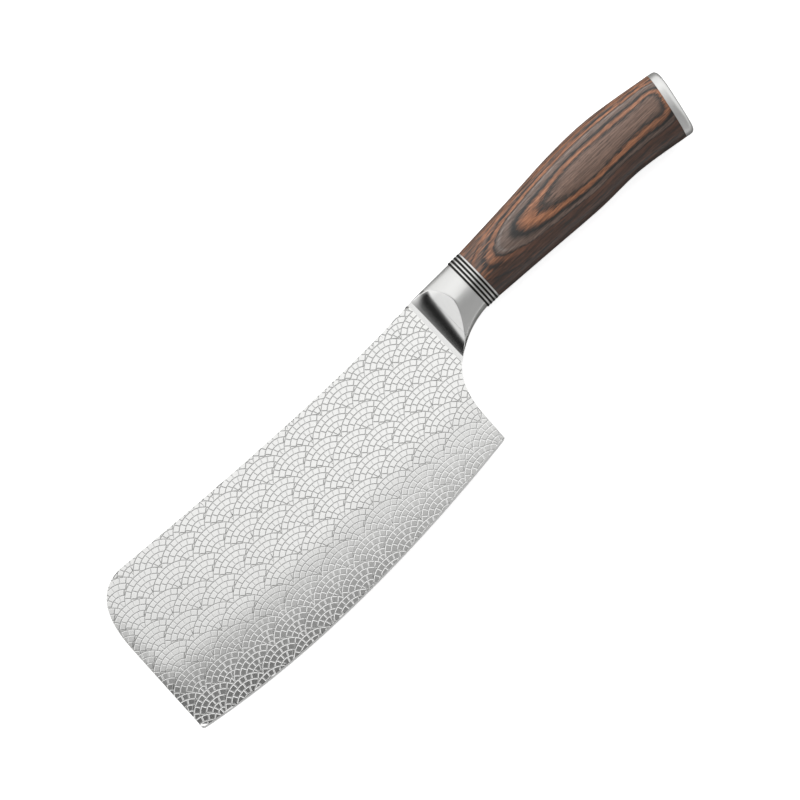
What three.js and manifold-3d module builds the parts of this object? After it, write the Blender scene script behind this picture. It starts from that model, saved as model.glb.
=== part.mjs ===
// A kitchen cleaver with a hidden tang: a ground blade, a hollowed bolster, a stack of spacers,
// a laminated wood handle and a steel butt cap, all clamped on a rod welded to the tang.
// Millimetres. +X runs from the blade's front to the butt, +Y from the edge to the spine, and
// +Z is the side of the blade that faces up as the knife lies on its side.

import * as THREE from 'three';
import { mergeVertices } from 'three/addons/utils/BufferGeometryUtils.js';
import Module from 'manifold-3d';

const wasm = await Module();
wasm.setup();

// Driving dimensions: the blade. Drops and heights are measured from the handle's axis.
const bladeLength = 175.3;
const bladeThickness = 2.2;
const spineFrontHeight = 14.1;
const spineDipHeight = 6.7;
const spineDipAt = 50.7;
const spineRearHeight = 10.9;
const tipRounding = 20;
const frontLean = 1.4;
const frontStraightDrop = 12;
const frontCornerDrop = 54.4;
const bellyPullDrop = 66.8;
const bellyPullAt = 70;
const heelDrop = 53.9;
const heelSetback = 10.1;
const heelLean = 0.5;
const choilStartDrop = 40.6;
const choilPullDrop = 25.2;
const choilEndDrop = 19.2;
const edgeCornerRadius = 1.3;
const bevelHeight = 1.1;
const bevelThickness = 0.7;
const grindHeight = 30;

// Driving dimensions: the bolster and the forged root that it seats on.
const bolsterLength = 20.7;
const hollowRadius = 11.6;
const rootLength = 6.7;
const bolsterRidgeDrop = 2;
const undersideFrontWidth = 0.8;
const undersideRearWidth = 2;
const undersidePullAt = 11.4;
const undersidePullDrop = 12.1;

// Driving dimensions: the neck and the spacers.
const neckHalfHeight = 11.55;
const neckThickness = 17;
const spacerProud = 0.3;
const spacerPairs = 4;
const blackSpacerThickness = 0.8;
const steelSpacerThickness = 0.67;

// Driving dimensions: the wood handle, measured back from its front face.
const gripFrontAt = 26.5;
const gripFrontTop = 13.2;
const gripFrontBottom = 12.95;
const gripFrontThickness = 19.2;
const swellAt = 52.5;
const swellTop = 15.05;
const swellBottom = 14.3;
const swellThickness = 21;
const waistAt = 74;
const waistTop = 14.75;
const waistBottom = 14.3;
const waistThickness = 20.8;
const handleTopLength = 101.5;
const handleBottomLength = 96.4;
const buttTop = 10.9;
const buttBottom = 17.3;
const buttThickness = 20;
const gripRidgeRise = 2.3;

// Driving dimensions: the butt cap.
const capThickness = 4.2;
const capRimRadius = 2;
const capCrown = 0.4;

// Driving dimensions: the tang, its rod and the nut that pulls the stack together.
const tangHeight = 13;
const tangLength = 62;
const tangTipHeight = 4.4;
const rodDiameter = 5;
const rodLap = 10;
const rodStickout = 1.5;
const washerDiameter = 10;
const washerThickness = 1;
const nutAcrossFlats = 8;
const nutHeight = 4;
const counterboreDiameter = 11;
const counterboreDepth = 20;
const spigotRoom = 4;

// Clearances.
const faceGap = 0.05;
const tangClearance = 0.3;
const weldClearance = 0.1;
const boreClearance = 0.3;
const spigotClearance = 0.3;

// Fineness of the curved forms, as counts.
const ringPoints = 40;
const undersidePoints = 4;
const bolsterSteps = 12;
const edgeSteps = 24;
const grindSteps = 6;
const handleSteps = 28;
const rimSteps = 4;
const crownSteps = 3;
const outlineSegments = 14;
const hollowSegments = 120;
const boreSegments = 32;

// Powers of the sections: 2 is an ellipse, less is more like a lens. The grind bulges a little.
const bolsterFrontPower = 1.4;
const neckPower = 1.8;
const gripPower = 2.1;
const grindPower = 1.7;

// Places along the knife, from the bolster's rear face.
const hollowStart = -bolsterLength;
const shoulderX = hollowStart + rootLength;
const frontCornerX = hollowStart - bladeLength;
const heelX = hollowStart - heelSetback;
const halfBlade = bladeThickness / 2;
const bolsterHalfHeight = neckHalfHeight - spacerProud;
const bolsterHalfThickness = neckThickness / 2 - spacerProud;
const spacerPitch = blackSpacerThickness + steelSpacerThickness + 2 * faceGap;
const handleFront = faceGap + Math.round(spacerPairs) * spacerPitch;
const tangTipStart = tangLength - rodLap;

// Finishes
const brushedSteel = new THREE.MeshStandardMaterial({ color: 0xcfcfcc, roughness: 0.32, metalness: 1 });
const etchedSteel = new THREE.MeshStandardMaterial({ color: 0xc4c4c1, roughness: 0.42, metalness: 1 });
const zincSteel = new THREE.MeshStandardMaterial({ color: 0xa9abac, roughness: 0.45, metalness: 1 });
const blackPlastic = new THREE.MeshStandardMaterial({ color: 0x151311, roughness: 0.5, metalness: 0 });
const laminatedWood = new THREE.MeshStandardMaterial({ color: 0x5d473b, roughness: 0.55, metalness: 0 });

// A closed three.js geometry as a solid that can be joined and cut.
function toSolid(geometry) {
  const bare = geometry.clone();
  bare.deleteAttribute('normal');
  bare.deleteAttribute('uv');
  const merged = mergeVertices(bare);
  const vertProperties = Float32Array.from(merged.attributes.position.array);
  const triVerts = Uint32Array.from(merged.index.array);
  return new wasm.Manifold(new wasm.Mesh({ numProp: 3, vertProperties, triVerts }));
}

function toGeometry(solid) {
  const { vertProperties, triVerts } = solid.getMesh();
  const geometry = new THREE.BufferGeometry();
  geometry.setAttribute('position', new THREE.BufferAttribute(vertProperties, 3));
  geometry.setIndex(new THREE.BufferAttribute(triVerts, 1));
  geometry.computeVertexNormals();
  return geometry;
}

// A closed skin over rings of equal count, in order along +X, each counter-clockwise seen from +X.
function loft(rings) {
  const count = rings[0].length;
  const last = (rings.length - 1) * count;
  const points = rings.flat();
  const index = [];
  for (let ring = 0; ring < rings.length - 1; ring++) {
    for (let i = 0; i < count; i++) {
      const here = ring * count + i;
      const next = ring * count + ((i + 1) % count);
      index.push(here, next, here + count);
      index.push(next, next + count, here + count);
    }
  }
  const frontCentre = points.length;
  const rearCentre = points.length + 1;
  points.push(ringCentre(rings[0]), ringCentre(rings[rings.length - 1]));
  for (let i = 0; i < count; i++) {
    const next = (i + 1) % count;
    index.push(frontCentre, next, i);
    index.push(rearCentre, last + i, last + next);
  }
  const geometry = new THREE.BufferGeometry().setFromPoints(points);
  geometry.setIndex(index);
  return geometry;
}

function ringCentre(ring) {
  const centre = new THREE.Vector3();
  ring.forEach((point) => centre.add(point));
  return centre.divideScalar(ring.length);
}

// A box given by its two corners.
function boxBetween(low, high) {
  const size = new THREE.Vector3().subVectors(high, low);
  const middle = new THREE.Vector3().addVectors(low, high).multiplyScalar(0.5);
  return new THREE.BoxGeometry(size.x, size.y, size.z).translate(middle.x, middle.y, middle.z);
}

// A cylinder along X on the handle's axis.
function rodBetween(startX, endX, diameter) {
  const rod = new THREE.CylinderGeometry(diameter / 2, diameter / 2, endX - startX, boreSegments);
  return rod.rotateZ(-Math.PI / 2).translate((startX + endX) / 2, 0, 0);
}

// An outline drawn in the YZ plane, pushed from startX to endX. Shape x becomes Y, shape y becomes Z.
function plateBetween(shape, startX, endX) {
  const options = { depth: endX - startX, bevelEnabled: false, curveSegments: outlineSegments };
  const plate = new THREE.ExtrudeGeometry(shape, options);
  const turn = new THREE.Matrix4().set(0, 0, 1, startX, 1, 0, 0, 0, 0, 1, 0, 0, 0, 0, 0, 1);
  return plate.applyMatrix4(turn);
}

// One point of the egg-shaped section, at an angle turned from the top towards +Z.
function eggPoint(angle, { bottom, top, ridge, half, power }) {
  const across = Math.cos(angle);
  const out = Math.sin(angle);
  const reach = across > 0 ? top - ridge : ridge - bottom;
  const height = ridge + reach * Math.sign(across) * Math.abs(across) ** (2 / power);
  return new THREE.Vector2(height, half * Math.sign(out) * Math.abs(out) ** (2 / power));
}

// The egg-shaped section of the grip, as points of height and distance from the blade's plane.
function eggSection(egg) {
  const points = [];
  for (let i = 0; i < ringPoints; i++) {
    points.push(eggPoint((2 * Math.PI * i) / ringPoints, egg));
  }
  return points;
}

// The egg with its lower end cut by a shallow arc, which leaves a crease above the underside.
function creasedSection(egg, width) {
  const lowered = { ...egg, bottom: egg.bottom - width };
  const crease = egg.bottom + width;
  const share = (egg.ridge - crease) / (egg.ridge - lowered.bottom);
  const turn = Math.acos(-(share ** (egg.power / 2)));
  const points = [];
  for (let i = 0; i <= ringPoints; i++) {
    points.push(eggPoint(turn * ((2 * i) / ringPoints - 1), lowered));
  }
  const creaseHalf = points[ringPoints].y;
  for (let i = 1; i < 2 * undersidePoints; i++) {
    const out = 1 - i / undersidePoints;
    points.push(new THREE.Vector2(egg.bottom + width * out * out, creaseHalf * out));
  }
  return points;
}

function uprightRing(x, section) {
  return section.map((point) => new THREE.Vector3(x, point.x, point.y));
}

// A rectangle about the handle's axis, in the YZ plane.
function tangWindow(clearance) {
  const y = tangHeight / 2 + clearance;
  const z = halfBlade + clearance;
  const corners = [[-y, -z], [y, -z], [y, z], [-y, z]];
  return new THREE.Path(corners.map((corner) => new THREE.Vector2(...corner)));
}

function circlePath(diameter) {
  const path = new THREE.Path();
  path.absarc(0, 0, diameter / 2, 0, 2 * Math.PI);
  return path;
}

// Blade

const edgeCurve = new THREE.QuadraticBezierCurve(
  new THREE.Vector2(frontCornerX, -frontCornerDrop),
  new THREE.Vector2(frontCornerX + bellyPullAt, -bellyPullDrop),
  new THREE.Vector2(heelX, -heelDrop),
);

// Where the front and the heel lines stand at a given height.
function frontLineX(y) {
  const slope = frontLean / (frontCornerDrop - frontStraightDrop);
  return frontCornerX + slope * (y + frontCornerDrop);
}

function heelLineX(y) {
  const slope = heelLean / (heelDrop - choilStartDrop);
  return heelX + slope * (y + heelDrop);
}

// Side view of the blade and its tang. It runs past the cutting edge, which the grind forms.
function bladeOutline() {
  const below = -bellyPullDrop;
  const radius = edgeCornerRadius;
  const spineStart = frontCornerX + tipRounding;
  const halfTang = tangHeight / 2;
  const halfTip = tangTipHeight / 2;
  const frontArcEnd = edgeCurve.getPoint(radius / edgeCurve.getLength());
  const heelArcEnd = edgeCurve.getPoint(1 - radius / edgeCurve.getLength());
  const outline = new THREE.Shape();
  outline.moveTo(frontArcEnd.x, below);
  outline.lineTo(heelArcEnd.x, below);
  outline.lineTo(heelArcEnd.x, heelArcEnd.y);
  outline.quadraticCurveTo(heelX, -heelDrop, heelLineX(radius - heelDrop), radius - heelDrop);
  outline.lineTo(heelLineX(-choilStartDrop), -choilStartDrop);
  outline.quadraticCurveTo(heelLineX(-choilPullDrop), -choilPullDrop, hollowStart, -choilEndDrop);
  outline.lineTo(hollowStart, -halfTang);
  outline.lineTo(handleFront, -halfTang);
  outline.lineTo(tangTipStart, -halfTip);
  outline.lineTo(tangLength, -halfTip);
  outline.lineTo(tangLength, halfTip);
  outline.lineTo(tangTipStart, halfTip);
  outline.lineTo(handleFront, halfTang);
  outline.lineTo(hollowStart, halfTang);
  outline.lineTo(hollowStart, spineRearHeight);
  outline.quadraticCurveTo(hollowStart - spineDipAt, spineDipHeight, spineStart, spineFrontHeight);
  const tipX = frontLineX(spineFrontHeight);
  outline.quadraticCurveTo(tipX, spineFrontHeight, frontLineX(-frontStraightDrop), -frontStraightDrop);
  outline.lineTo(frontLineX(radius - frontCornerDrop), radius - frontCornerDrop);
  outline.quadraticCurveTo(frontCornerX, -frontCornerDrop, frontArcEnd.x, frontArcEnd.y);
  outline.closePath();
  return outline;
}

// Cross-section of the ground blade above a point of its edge: bevel, bulged grind, parallel flats.
function grindSection(edgeY) {
  const side = [];
  for (let i = 0; i <= grindSteps; i++) {
    const rise = i / grindSteps;
    const swell = 1 - (1 - rise) ** grindPower;
    const height = edgeY + bevelHeight + rise * (grindHeight - bevelHeight);
    side.push([height, THREE.MathUtils.lerp(bevelThickness, bladeThickness, swell) / 2]);
  }
  side.push([spineFrontHeight + bladeThickness, halfBlade]);
  const lower = side.map(([height, out]) => new THREE.Vector2(height, -out));
  const upper = side.map(([height, out]) => new THREE.Vector2(height, out)).reverse();
  return [new THREE.Vector2(edgeY, 0), ...lower, ...upper];
}

// The ground bar that the outline is cut from, as long as the blade and its tang.
function groundBar() {
  const rings = [uprightRing(frontCornerX - bladeThickness, grindSection(-frontCornerDrop))];
  for (let i = 0; i <= edgeSteps; i++) {
    const point = edgeCurve.getPoint(i / edgeSteps);
    rings.push(uprightRing(point.x, grindSection(point.y)));
  }
  rings.push(uprightRing(tangLength + bladeThickness, grindSection(-heelDrop)));
  return loft(rings);
}

function makeBlade(neck) {
  const options = { depth: 2 * bladeThickness, bevelEnabled: false, curveSegments: outlineSegments };
  const outline = new THREE.ExtrudeGeometry(bladeOutline(), options).translate(0, 0, -bladeThickness);
  const plate = toSolid(outline).intersect(toSolid(groundBar()));
  const root = neck.intersect(slabBetween(hollowStart - rootLength, shoulderX));
  return toGeometry(plate.add(root));
}

// Bolster

// Everything between two X planes that the neck can reach.
function slabBetween(startX, endX) {
  const reach = neckThickness + bellyPullDrop;
  return toSolid(boxBetween(
    new THREE.Vector3(startX, -reach, -reach),
    new THREE.Vector3(endX, reach, reach),
  ));
}

// The neck from the hollow's start to the spacers: an egg-shaped bar hollowed from both sides.
function neckSolid() {
  const underside = new THREE.QuadraticBezierCurve(
    new THREE.Vector2(hollowStart, -choilEndDrop),
    new THREE.Vector2(-undersidePullAt, -undersidePullDrop),
    new THREE.Vector2(0, -bolsterHalfHeight),
  );
  const rings = [];
  for (let i = 0; i <= bolsterSteps; i++) {
    const low = underside.getPoint(i / bolsterSteps);
    const share = (low.x - hollowStart) / bolsterLength;
    const egg = {
      bottom: low.y,
      top: THREE.MathUtils.lerp(spineRearHeight, bolsterHalfHeight, share),
      ridge: -bolsterRidgeDrop * (1 - share),
      half: bolsterHalfThickness,
      power: THREE.MathUtils.lerp(bolsterFrontPower, neckPower, share),
    };
    const width = THREE.MathUtils.lerp(undersideFrontWidth, undersideRearWidth, share);
    rings.push(uprightRing(low.x, creasedSection(egg, width)));
  }
  const hollowLength = 2 * (choilEndDrop + spineRearHeight);
  let neck = toSolid(loft(rings));
  for (const side of [-1, 1]) {
    const hollow = new THREE.CylinderGeometry(hollowRadius, hollowRadius, hollowLength, hollowSegments);
    neck = neck.subtract(toSolid(hollow.translate(hollowStart, 0, side * (halfBlade + hollowRadius))));
  }
  return neck;
}

function makeBolster(neck) {
  const collar = neck.intersect(slabBetween(shoulderX + faceGap, bolsterLength));
  const window = new THREE.Shape(tangWindow(tangClearance).getPoints());
  const slot = plateBetween(window, hollowStart, bolsterLength);
  return toGeometry(collar.subtract(toSolid(slot)));
}

// Spacers

function makeSpacer(startX, thickness) {
  const egg = {
    bottom: -neckHalfHeight,
    top: neckHalfHeight,
    ridge: 0,
    half: neckThickness / 2,
    power: neckPower,
  };
  const shape = new THREE.Shape(eggSection(egg));
  shape.holes.push(tangWindow(tangClearance));
  return plateBetween(shape, startX, startX + thickness);
}

// Handle

function handleSpline(stations) {
  return new THREE.SplineCurve(stations.map(([at, value]) => new THREE.Vector2(handleFront + at, value)));
}

const handleTop = handleSpline([
  [0, neckHalfHeight],
  [gripFrontAt, gripFrontTop],
  [swellAt, swellTop],
  [waistAt, waistTop],
  [handleTopLength, buttTop],
]);
const handleBottom = handleSpline([
  [0, -neckHalfHeight],
  [gripFrontAt, -gripFrontBottom],
  [swellAt, -swellBottom],
  [waistAt, -waistBottom],
  [handleBottomLength, -buttBottom],
]);
const handleThickness = handleSpline([
  [0, neckThickness],
  [gripFrontAt, gripFrontThickness],
  [swellAt, swellThickness],
  [waistAt, waistThickness],
  [handleTopLength, buttThickness],
]);

// One section of the grip. It leans back with the butt, can be drawn in all round or shrunk about its
// middle, and can be moved off along its own normal.
function gripRing(share, { inset = 0, shrink = 1, offset = 0 } = {}) {
  const top = handleTop.getPoint(share);
  const bottom = handleBottom.getPoint(share);
  const along = new THREE.Vector2().subVectors(top, bottom);
  const length = along.length();
  along.normalize();
  const rise = THREE.MathUtils.smoothstep(top.x, handleFront, handleFront + gripFrontAt);
  const egg = {
    bottom: inset,
    top: length - inset,
    ridge: (length * (gripRidgeRise * rise - bottom.y)) / (top.y - bottom.y),
    half: handleThickness.getPoint(share).y / 2 - inset,
    power: THREE.MathUtils.lerp(neckPower, gripPower, rise),
  };
  return eggSection(egg).map(({ x, y }) => {
    const step = length / 2 + shrink * (x - length / 2);
    return new THREE.Vector3(
      bottom.x + along.x * step + along.y * offset,
      bottom.y + along.y * step - along.x * offset,
      shrink * y,
    );
  });
}

// The joint between wood and cap, where it crosses the handle's axis, and what is measured from it.
const jointX = THREE.MathUtils.mapLinear(
  0,
  -buttBottom,
  buttTop,
  handleFront + handleBottomLength,
  handleFront + handleTopLength,
);
const seatX = jointX - counterboreDepth;
const washerX = seatX + faceGap;
const nutX = washerX + washerThickness + faceGap;
const rodEndX = nutX + nutHeight + rodStickout;
const spigotX = rodEndX + spigotRoom;

function makeHandle() {
  const rings = [];
  for (let i = 0; i <= handleSteps; i++) {
    rings.push(gripRing(i / handleSteps));
  }
  const window = new THREE.Shape(tangWindow(tangClearance).getPoints());
  const slot = plateBetween(window, handleFront - tangClearance, tangTipStart);
  const bore = rodBetween(tangTipStart - boreClearance, jointX, rodDiameter + 2 * boreClearance);
  const counterbore = rodBetween(seatX, jointX + capThickness, counterboreDiameter);
  const wood = toSolid(loft(rings));
  return toGeometry(wood.subtract(toSolid(slot)).subtract(toSolid(bore)).subtract(toSolid(counterbore)));
}

// Butt cap: a plate with a rounded rim and a crowned face, and a spigot that plugs the counterbore.
function makeCap() {
  const wall = faceGap + capThickness - capRimRadius;
  const rings = [gripRing(1, { offset: faceGap }), gripRing(1, { offset: wall })];
  for (let i = 1; i <= rimSteps; i++) {
    const turn = (Math.PI / 2) * (i / rimSteps);
    const inset = capRimRadius * (1 - Math.cos(turn));
    rings.push(gripRing(1, { inset, offset: wall + capRimRadius * Math.sin(turn) }));
  }
  for (let i = 1; i <= crownSteps; i++) {
    const shrink = 1 - i / (crownSteps + 1);
    const offset = faceGap + capThickness + capCrown * (1 - shrink ** 2);
    rings.push(gripRing(1, { inset: capRimRadius, shrink, offset }));
  }
  const spigot = rodBetween(spigotX, jointX + capThickness / 2, counterboreDiameter - 2 * spigotClearance);
  return toGeometry(toSolid(loft(rings)).add(toSolid(spigot)));
}

// Rod, washer and nut

function makeRod() {
  const rod = toSolid(rodBetween(tangTipStart, rodEndX, rodDiameter));
  const halfSlot = halfBlade + weldClearance;
  const slot = boxBetween(
    new THREE.Vector3(tangTipStart - weldClearance, -rodDiameter, -halfSlot),
    new THREE.Vector3(tangLength + weldClearance, rodDiameter, halfSlot),
  );
  return toGeometry(rod.subtract(toSolid(slot)));
}

function makeWasher() {
  const shape = new THREE.Shape(circlePath(washerDiameter).getPoints(outlineSegments));
  shape.holes.push(circlePath(rodDiameter + 2 * boreClearance));
  return plateBetween(shape, washerX, washerX + washerThickness);
}

function makeNut() {
  const sides = 6;
  const cornerRadius = nutAcrossFlats / 2 / Math.cos(Math.PI / sides);
  const corners = [];
  for (let i = 0; i < sides; i++) {
    const angle = (2 * Math.PI * i) / sides;
    corners.push(new THREE.Vector2(cornerRadius * Math.cos(angle), cornerRadius * Math.sin(angle)));
  }
  const shape = new THREE.Shape(corners);
  shape.holes.push(circlePath(rodDiameter + 2 * weldClearance));
  return plateBetween(shape, nutX, nutX + nutHeight);
}

// Assembly

function place(group, name, geometry, material) {
  const mesh = new THREE.Mesh(geometry, material.clone());
  mesh.name = name;
  group.add(mesh);
}

function makeKnife() {
  const knife = new THREE.Group();
  const neck = neckSolid();
  place(knife, 'blade', makeBlade(neck), etchedSteel);
  place(knife, 'bolster', makeBolster(neck), brushedSteel);
  for (let pair = 1; pair <= Math.round(spacerPairs); pair++) {
    const blackX = faceGap + (pair - 1) * spacerPitch;
    const steelX = blackX + blackSpacerThickness + faceGap;
    place(knife, `black_spacer_${pair}`, makeSpacer(blackX, blackSpacerThickness), blackPlastic);
    place(knife, `steel_spacer_${pair}`, makeSpacer(steelX, steelSpacerThickness), brushedSteel);
  }
  place(knife, 'handle', makeHandle(), laminatedWood);
  place(knife, 'tang_rod', makeRod(), zincSteel);
  place(knife, 'tang_washer', makeWasher(), zincSteel);
  place(knife, 'tang_nut', makeNut(), zincSteel);
  place(knife, 'end_cap', makeCap(), brushedSteel);
  return knife;
}

// The knife lies on its side, with the origin under the middle of its bounding box.
const knife = makeKnife();
const bounds = new THREE.Box3().setFromObject(knife);
const middle = bounds.getCenter(new THREE.Vector3());
knife.position.set(-middle.x, -middle.y, -bounds.min.z);

const cleaver = new THREE.Group();
cleaver.add(knife);

export default cleaver;
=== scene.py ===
"""A kitchen cleaver: paved blade, hollowed bolster, banded neck, veneered grip and butt cap.

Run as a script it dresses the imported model: each operator makes one piece, or a group of like pieces,
in metres and in the model's own frame.
"""

import math

import bmesh
import bpy
import numpy as np
from bpy.props import FloatProperty, FloatVectorProperty, IntVectorProperty, PointerProperty
from bpy.types import Operator, Panel, PropertyGroup
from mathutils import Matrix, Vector
from mathutils.geometry import delaunay_2d_cdt


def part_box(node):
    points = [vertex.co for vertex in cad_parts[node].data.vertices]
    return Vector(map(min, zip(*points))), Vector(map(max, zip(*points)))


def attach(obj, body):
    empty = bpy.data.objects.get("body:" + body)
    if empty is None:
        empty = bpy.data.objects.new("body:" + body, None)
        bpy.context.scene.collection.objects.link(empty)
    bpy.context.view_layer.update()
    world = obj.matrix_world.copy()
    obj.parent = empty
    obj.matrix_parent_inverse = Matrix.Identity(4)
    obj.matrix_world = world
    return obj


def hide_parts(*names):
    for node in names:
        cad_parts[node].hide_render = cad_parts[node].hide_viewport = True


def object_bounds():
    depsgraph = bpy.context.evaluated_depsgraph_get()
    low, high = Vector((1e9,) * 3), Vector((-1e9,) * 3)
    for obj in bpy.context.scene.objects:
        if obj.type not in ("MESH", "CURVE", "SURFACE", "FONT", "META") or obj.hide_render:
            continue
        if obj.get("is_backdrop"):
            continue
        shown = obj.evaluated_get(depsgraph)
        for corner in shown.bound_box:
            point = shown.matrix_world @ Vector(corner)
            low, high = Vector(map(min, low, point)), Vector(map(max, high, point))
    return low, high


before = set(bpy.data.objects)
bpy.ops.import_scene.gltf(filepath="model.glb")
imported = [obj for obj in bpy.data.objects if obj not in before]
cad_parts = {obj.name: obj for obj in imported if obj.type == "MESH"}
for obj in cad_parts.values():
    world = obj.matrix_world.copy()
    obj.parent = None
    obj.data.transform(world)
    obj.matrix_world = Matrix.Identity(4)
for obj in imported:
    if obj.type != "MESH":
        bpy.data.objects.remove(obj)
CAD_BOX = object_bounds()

bl_info = {
    "name": "Kitchen Cleaver",
    "version": (1, 0, 0),
    "blender": (4, 5, 0),
    "location": "3D View > Sidebar > Cleaver",
    "description": "Builds a cleaver with a fan-paved blade and a laminated wood grip",
    "category": "Add Mesh",
}

MM = 0.001
BODY = "root"
SPACER_PAIRS = sum(1 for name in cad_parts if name.startswith("black_spacer_"))

# How finely the curved forms are cut
EDGE_STEPS = 120
CURVE_STEPS = 44
CORNER_STEPS = 8
STRAIGHT_STEPS = 16
STRIP_STEPS = 64
ARC_STEPS = 2
SECTION_STEPS = 96
SECTION_ANGLES = [2 * math.pi * i / SECTION_STEPS for i in range(SECTION_STEPS)]
UNDERSIDE_STEPS = 6
HOLLOW_STEPS = 24
NECK_STEPS = 20
GRIP_STEPS = 110
RIM_STEPS = 8
CROWN_STEPS = 6
CREST_HALVINGS = 40
SMOOTH_ANGLE = math.radians(32)
MERGE_DISTANCE = 0.002 * MM
TINY = 1e-9

# Shares that keep small forms sound: a stone's shortest side over its bevel, its bevel over its mean
# width, the broken rim over the half thickness there, the honed strip over the sharpened bevel, and
# the ring that leads into the cap's rounding over the rim's radius.
SHORTEST_SIDE = 0.7
WIDEST_BEVEL = 0.4
DEEPEST_BREAK = 0.4
BEVEL_REACH = 1.05
RIM_LEAD = 0.05

# Corners of a stone as it shrinks: the least squared sine that counts, and the cosine of a straight one
LEAST_SPREAD = 0.15
STRAIGHT_ON = 0.92

# The triangulation's mode that leaves out what lies outside its faces
INSIDE_ONLY = 1

# Material slots of the blade
STONE, JOINT_WALL, ROOT, HONED, JOINT_FLOOR = range(5)


def find_datum():
    """The bolster's rear face on the neck's axis, which the sizes below are measured from."""
    low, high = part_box("black_spacer_1")
    middle = (low + high) / 2
    return Vector((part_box("bolster")[1].x, middle.y, middle.z))


DATUM = find_datum()


# Sizes and colours that a user would change

def length(name, millimetres, description):
    """A length property whose default is given in millimetres."""
    return FloatProperty(
        name=name, description=description, default=millimetres * MM, unit="LENGTH", precision=5
    )


def lengths(name, millimetres, description):
    """A row of lengths, such as the stations along the grip."""
    default = [value * MM for value in millimetres]
    return FloatVectorProperty(
        name=name, description=description, default=default, size=len(default), unit="LENGTH", precision=5
    )


def number(name, default, description):
    """A plain number, such as the power of a curve."""
    return FloatProperty(name=name, description=description, default=default)


def colour(name, default, description):
    """A linear colour."""
    return FloatVectorProperty(
        name=name, description=description, default=default, size=3, subtype="COLOR", min=0, max=1
    )


class CleaverBladeSizes(PropertyGroup):
    """The blade's side view and grind."""

    length: length("Length", 175.3, "From the front corner of the edge to the bolster's hollow")
    thickness: length("Thickness", 2.2, "Thickness of the blade above the grind")
    spine_front: length("Spine front", 14.1, "Height of the spine at its front")
    spine_dip: length("Spine dip", 6.7, "Height that the spine's curve is pulled down to")
    spine_dip_at: length("Spine dip place", 50.7, "Distance of that pull from the hollow")
    spine_rear: length("Spine rear", 10.9, "Height of the spine at the hollow")
    tip_rounding: length("Tip rounding", 20.0, "Reach of the rounded upper front corner")
    front_lean: length("Front lean", 1.4, "How far the front leans back over its straight part")
    front_straight: length("Front straight", 12.0, "Drop at which the straight front begins")
    front_corner: length("Front corner", 54.4, "Drop of the edge at the front")
    belly_pull: length("Belly pull", 66.79, "Drop that the edge's curve is pulled to")
    belly_pull_at: length("Belly pull place", 70.0, "Distance of that pull from the front")
    heel_drop: length("Heel drop", 53.9, "Drop of the edge at the heel")
    heel_setback: length("Heel setback", 10.1, "Distance of the heel from the hollow")
    heel_lean: length("Heel lean", 0.5, "How far the heel leans back")
    choil_start: length("Choil start", 40.6, "Drop at which the heel turns into the choil")
    choil_pull: length("Choil pull", 25.2, "Drop that the choil's curve is pulled to")
    choil_end: length("Choil end", 19.2, "Drop of the choil at the hollow")
    corner_radius: length("Corner radius", 1.3, "Rounding of the edge's two corners")
    bevel_height: length("Bevel height", 0.7, "Height of the sharpened bevel")
    bevel_thickness: length("Bevel thickness", 0.45, "Thickness where the bevel begins")
    grind_height: length("Grind height", 30.0, "Height of the ground sides above the edge")
    grind_power: number("Grind bulge", 1.7, "Power of the grind's curve, where 1 is flat")
    rim_round: length("Rim rounding", 0.2, "Break of the spine's and front's sharp corners")
    front_ease: length("Front ease", 6.0, "Width over which the sides draw in towards the front")
    front_drop: length("Front drop", 0.11, "How far each side draws in there")


class CleaverPavingSizes(PropertyGroup):
    """The fan paving in relief on the blade's sides."""

    fan_height: length("Fan height", 11.43, "Height of a fan, and distance between fans in a column")
    column_steps: lengths("Column steps", (10.1, 10.0, 11.7, 11.64), "Distances of columns, repeated")
    first_column: length("First column", -173.9, "Place of one column along the blade")
    first_top: length("First fan", -3.88, "Height of one fan's top in that column")
    stones: IntVectorProperty(
        name="Stones",
        description="Stones in each half ring of a fan, from the outermost",
        default=(13, 9, 8, 5, 2),
        size=5,
    )
    waist: number("Waist", 1.03, "Half width of a fan over its height")
    fan_power: number("Fan power", 2.2, "Power of a fan's outline, where 2 is an ellipse")
    joint: length("Joint", 0.12, "Width of the sunk joints between stones")
    relief: length("Relief", 0.17, "Depth of the joints")
    stone_bevel: length("Stone bevel", 0.27, "Width of the sloped side of a stone")
    rim_margin: length("Rim margin", 0.08, "Plain rim left along the spine, front and heel")
    run_out: length("Run out", 0.2, "Length over which a joint rises to the plain rims")
    edge_margin: length("Edge margin", 0.15, "Plain strip left above the sharpened bevel")
    bolster_margin: length("Bolster margin", 2.0, "Plain strip left before the hollow")
    narrowest: length("Narrowest stone", 0.18, "Stones with a smaller mean width are left out")
    rim_narrowest: length("Narrowest at a rim", 0.1, "The same for stones cut by a plain rim")


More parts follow.
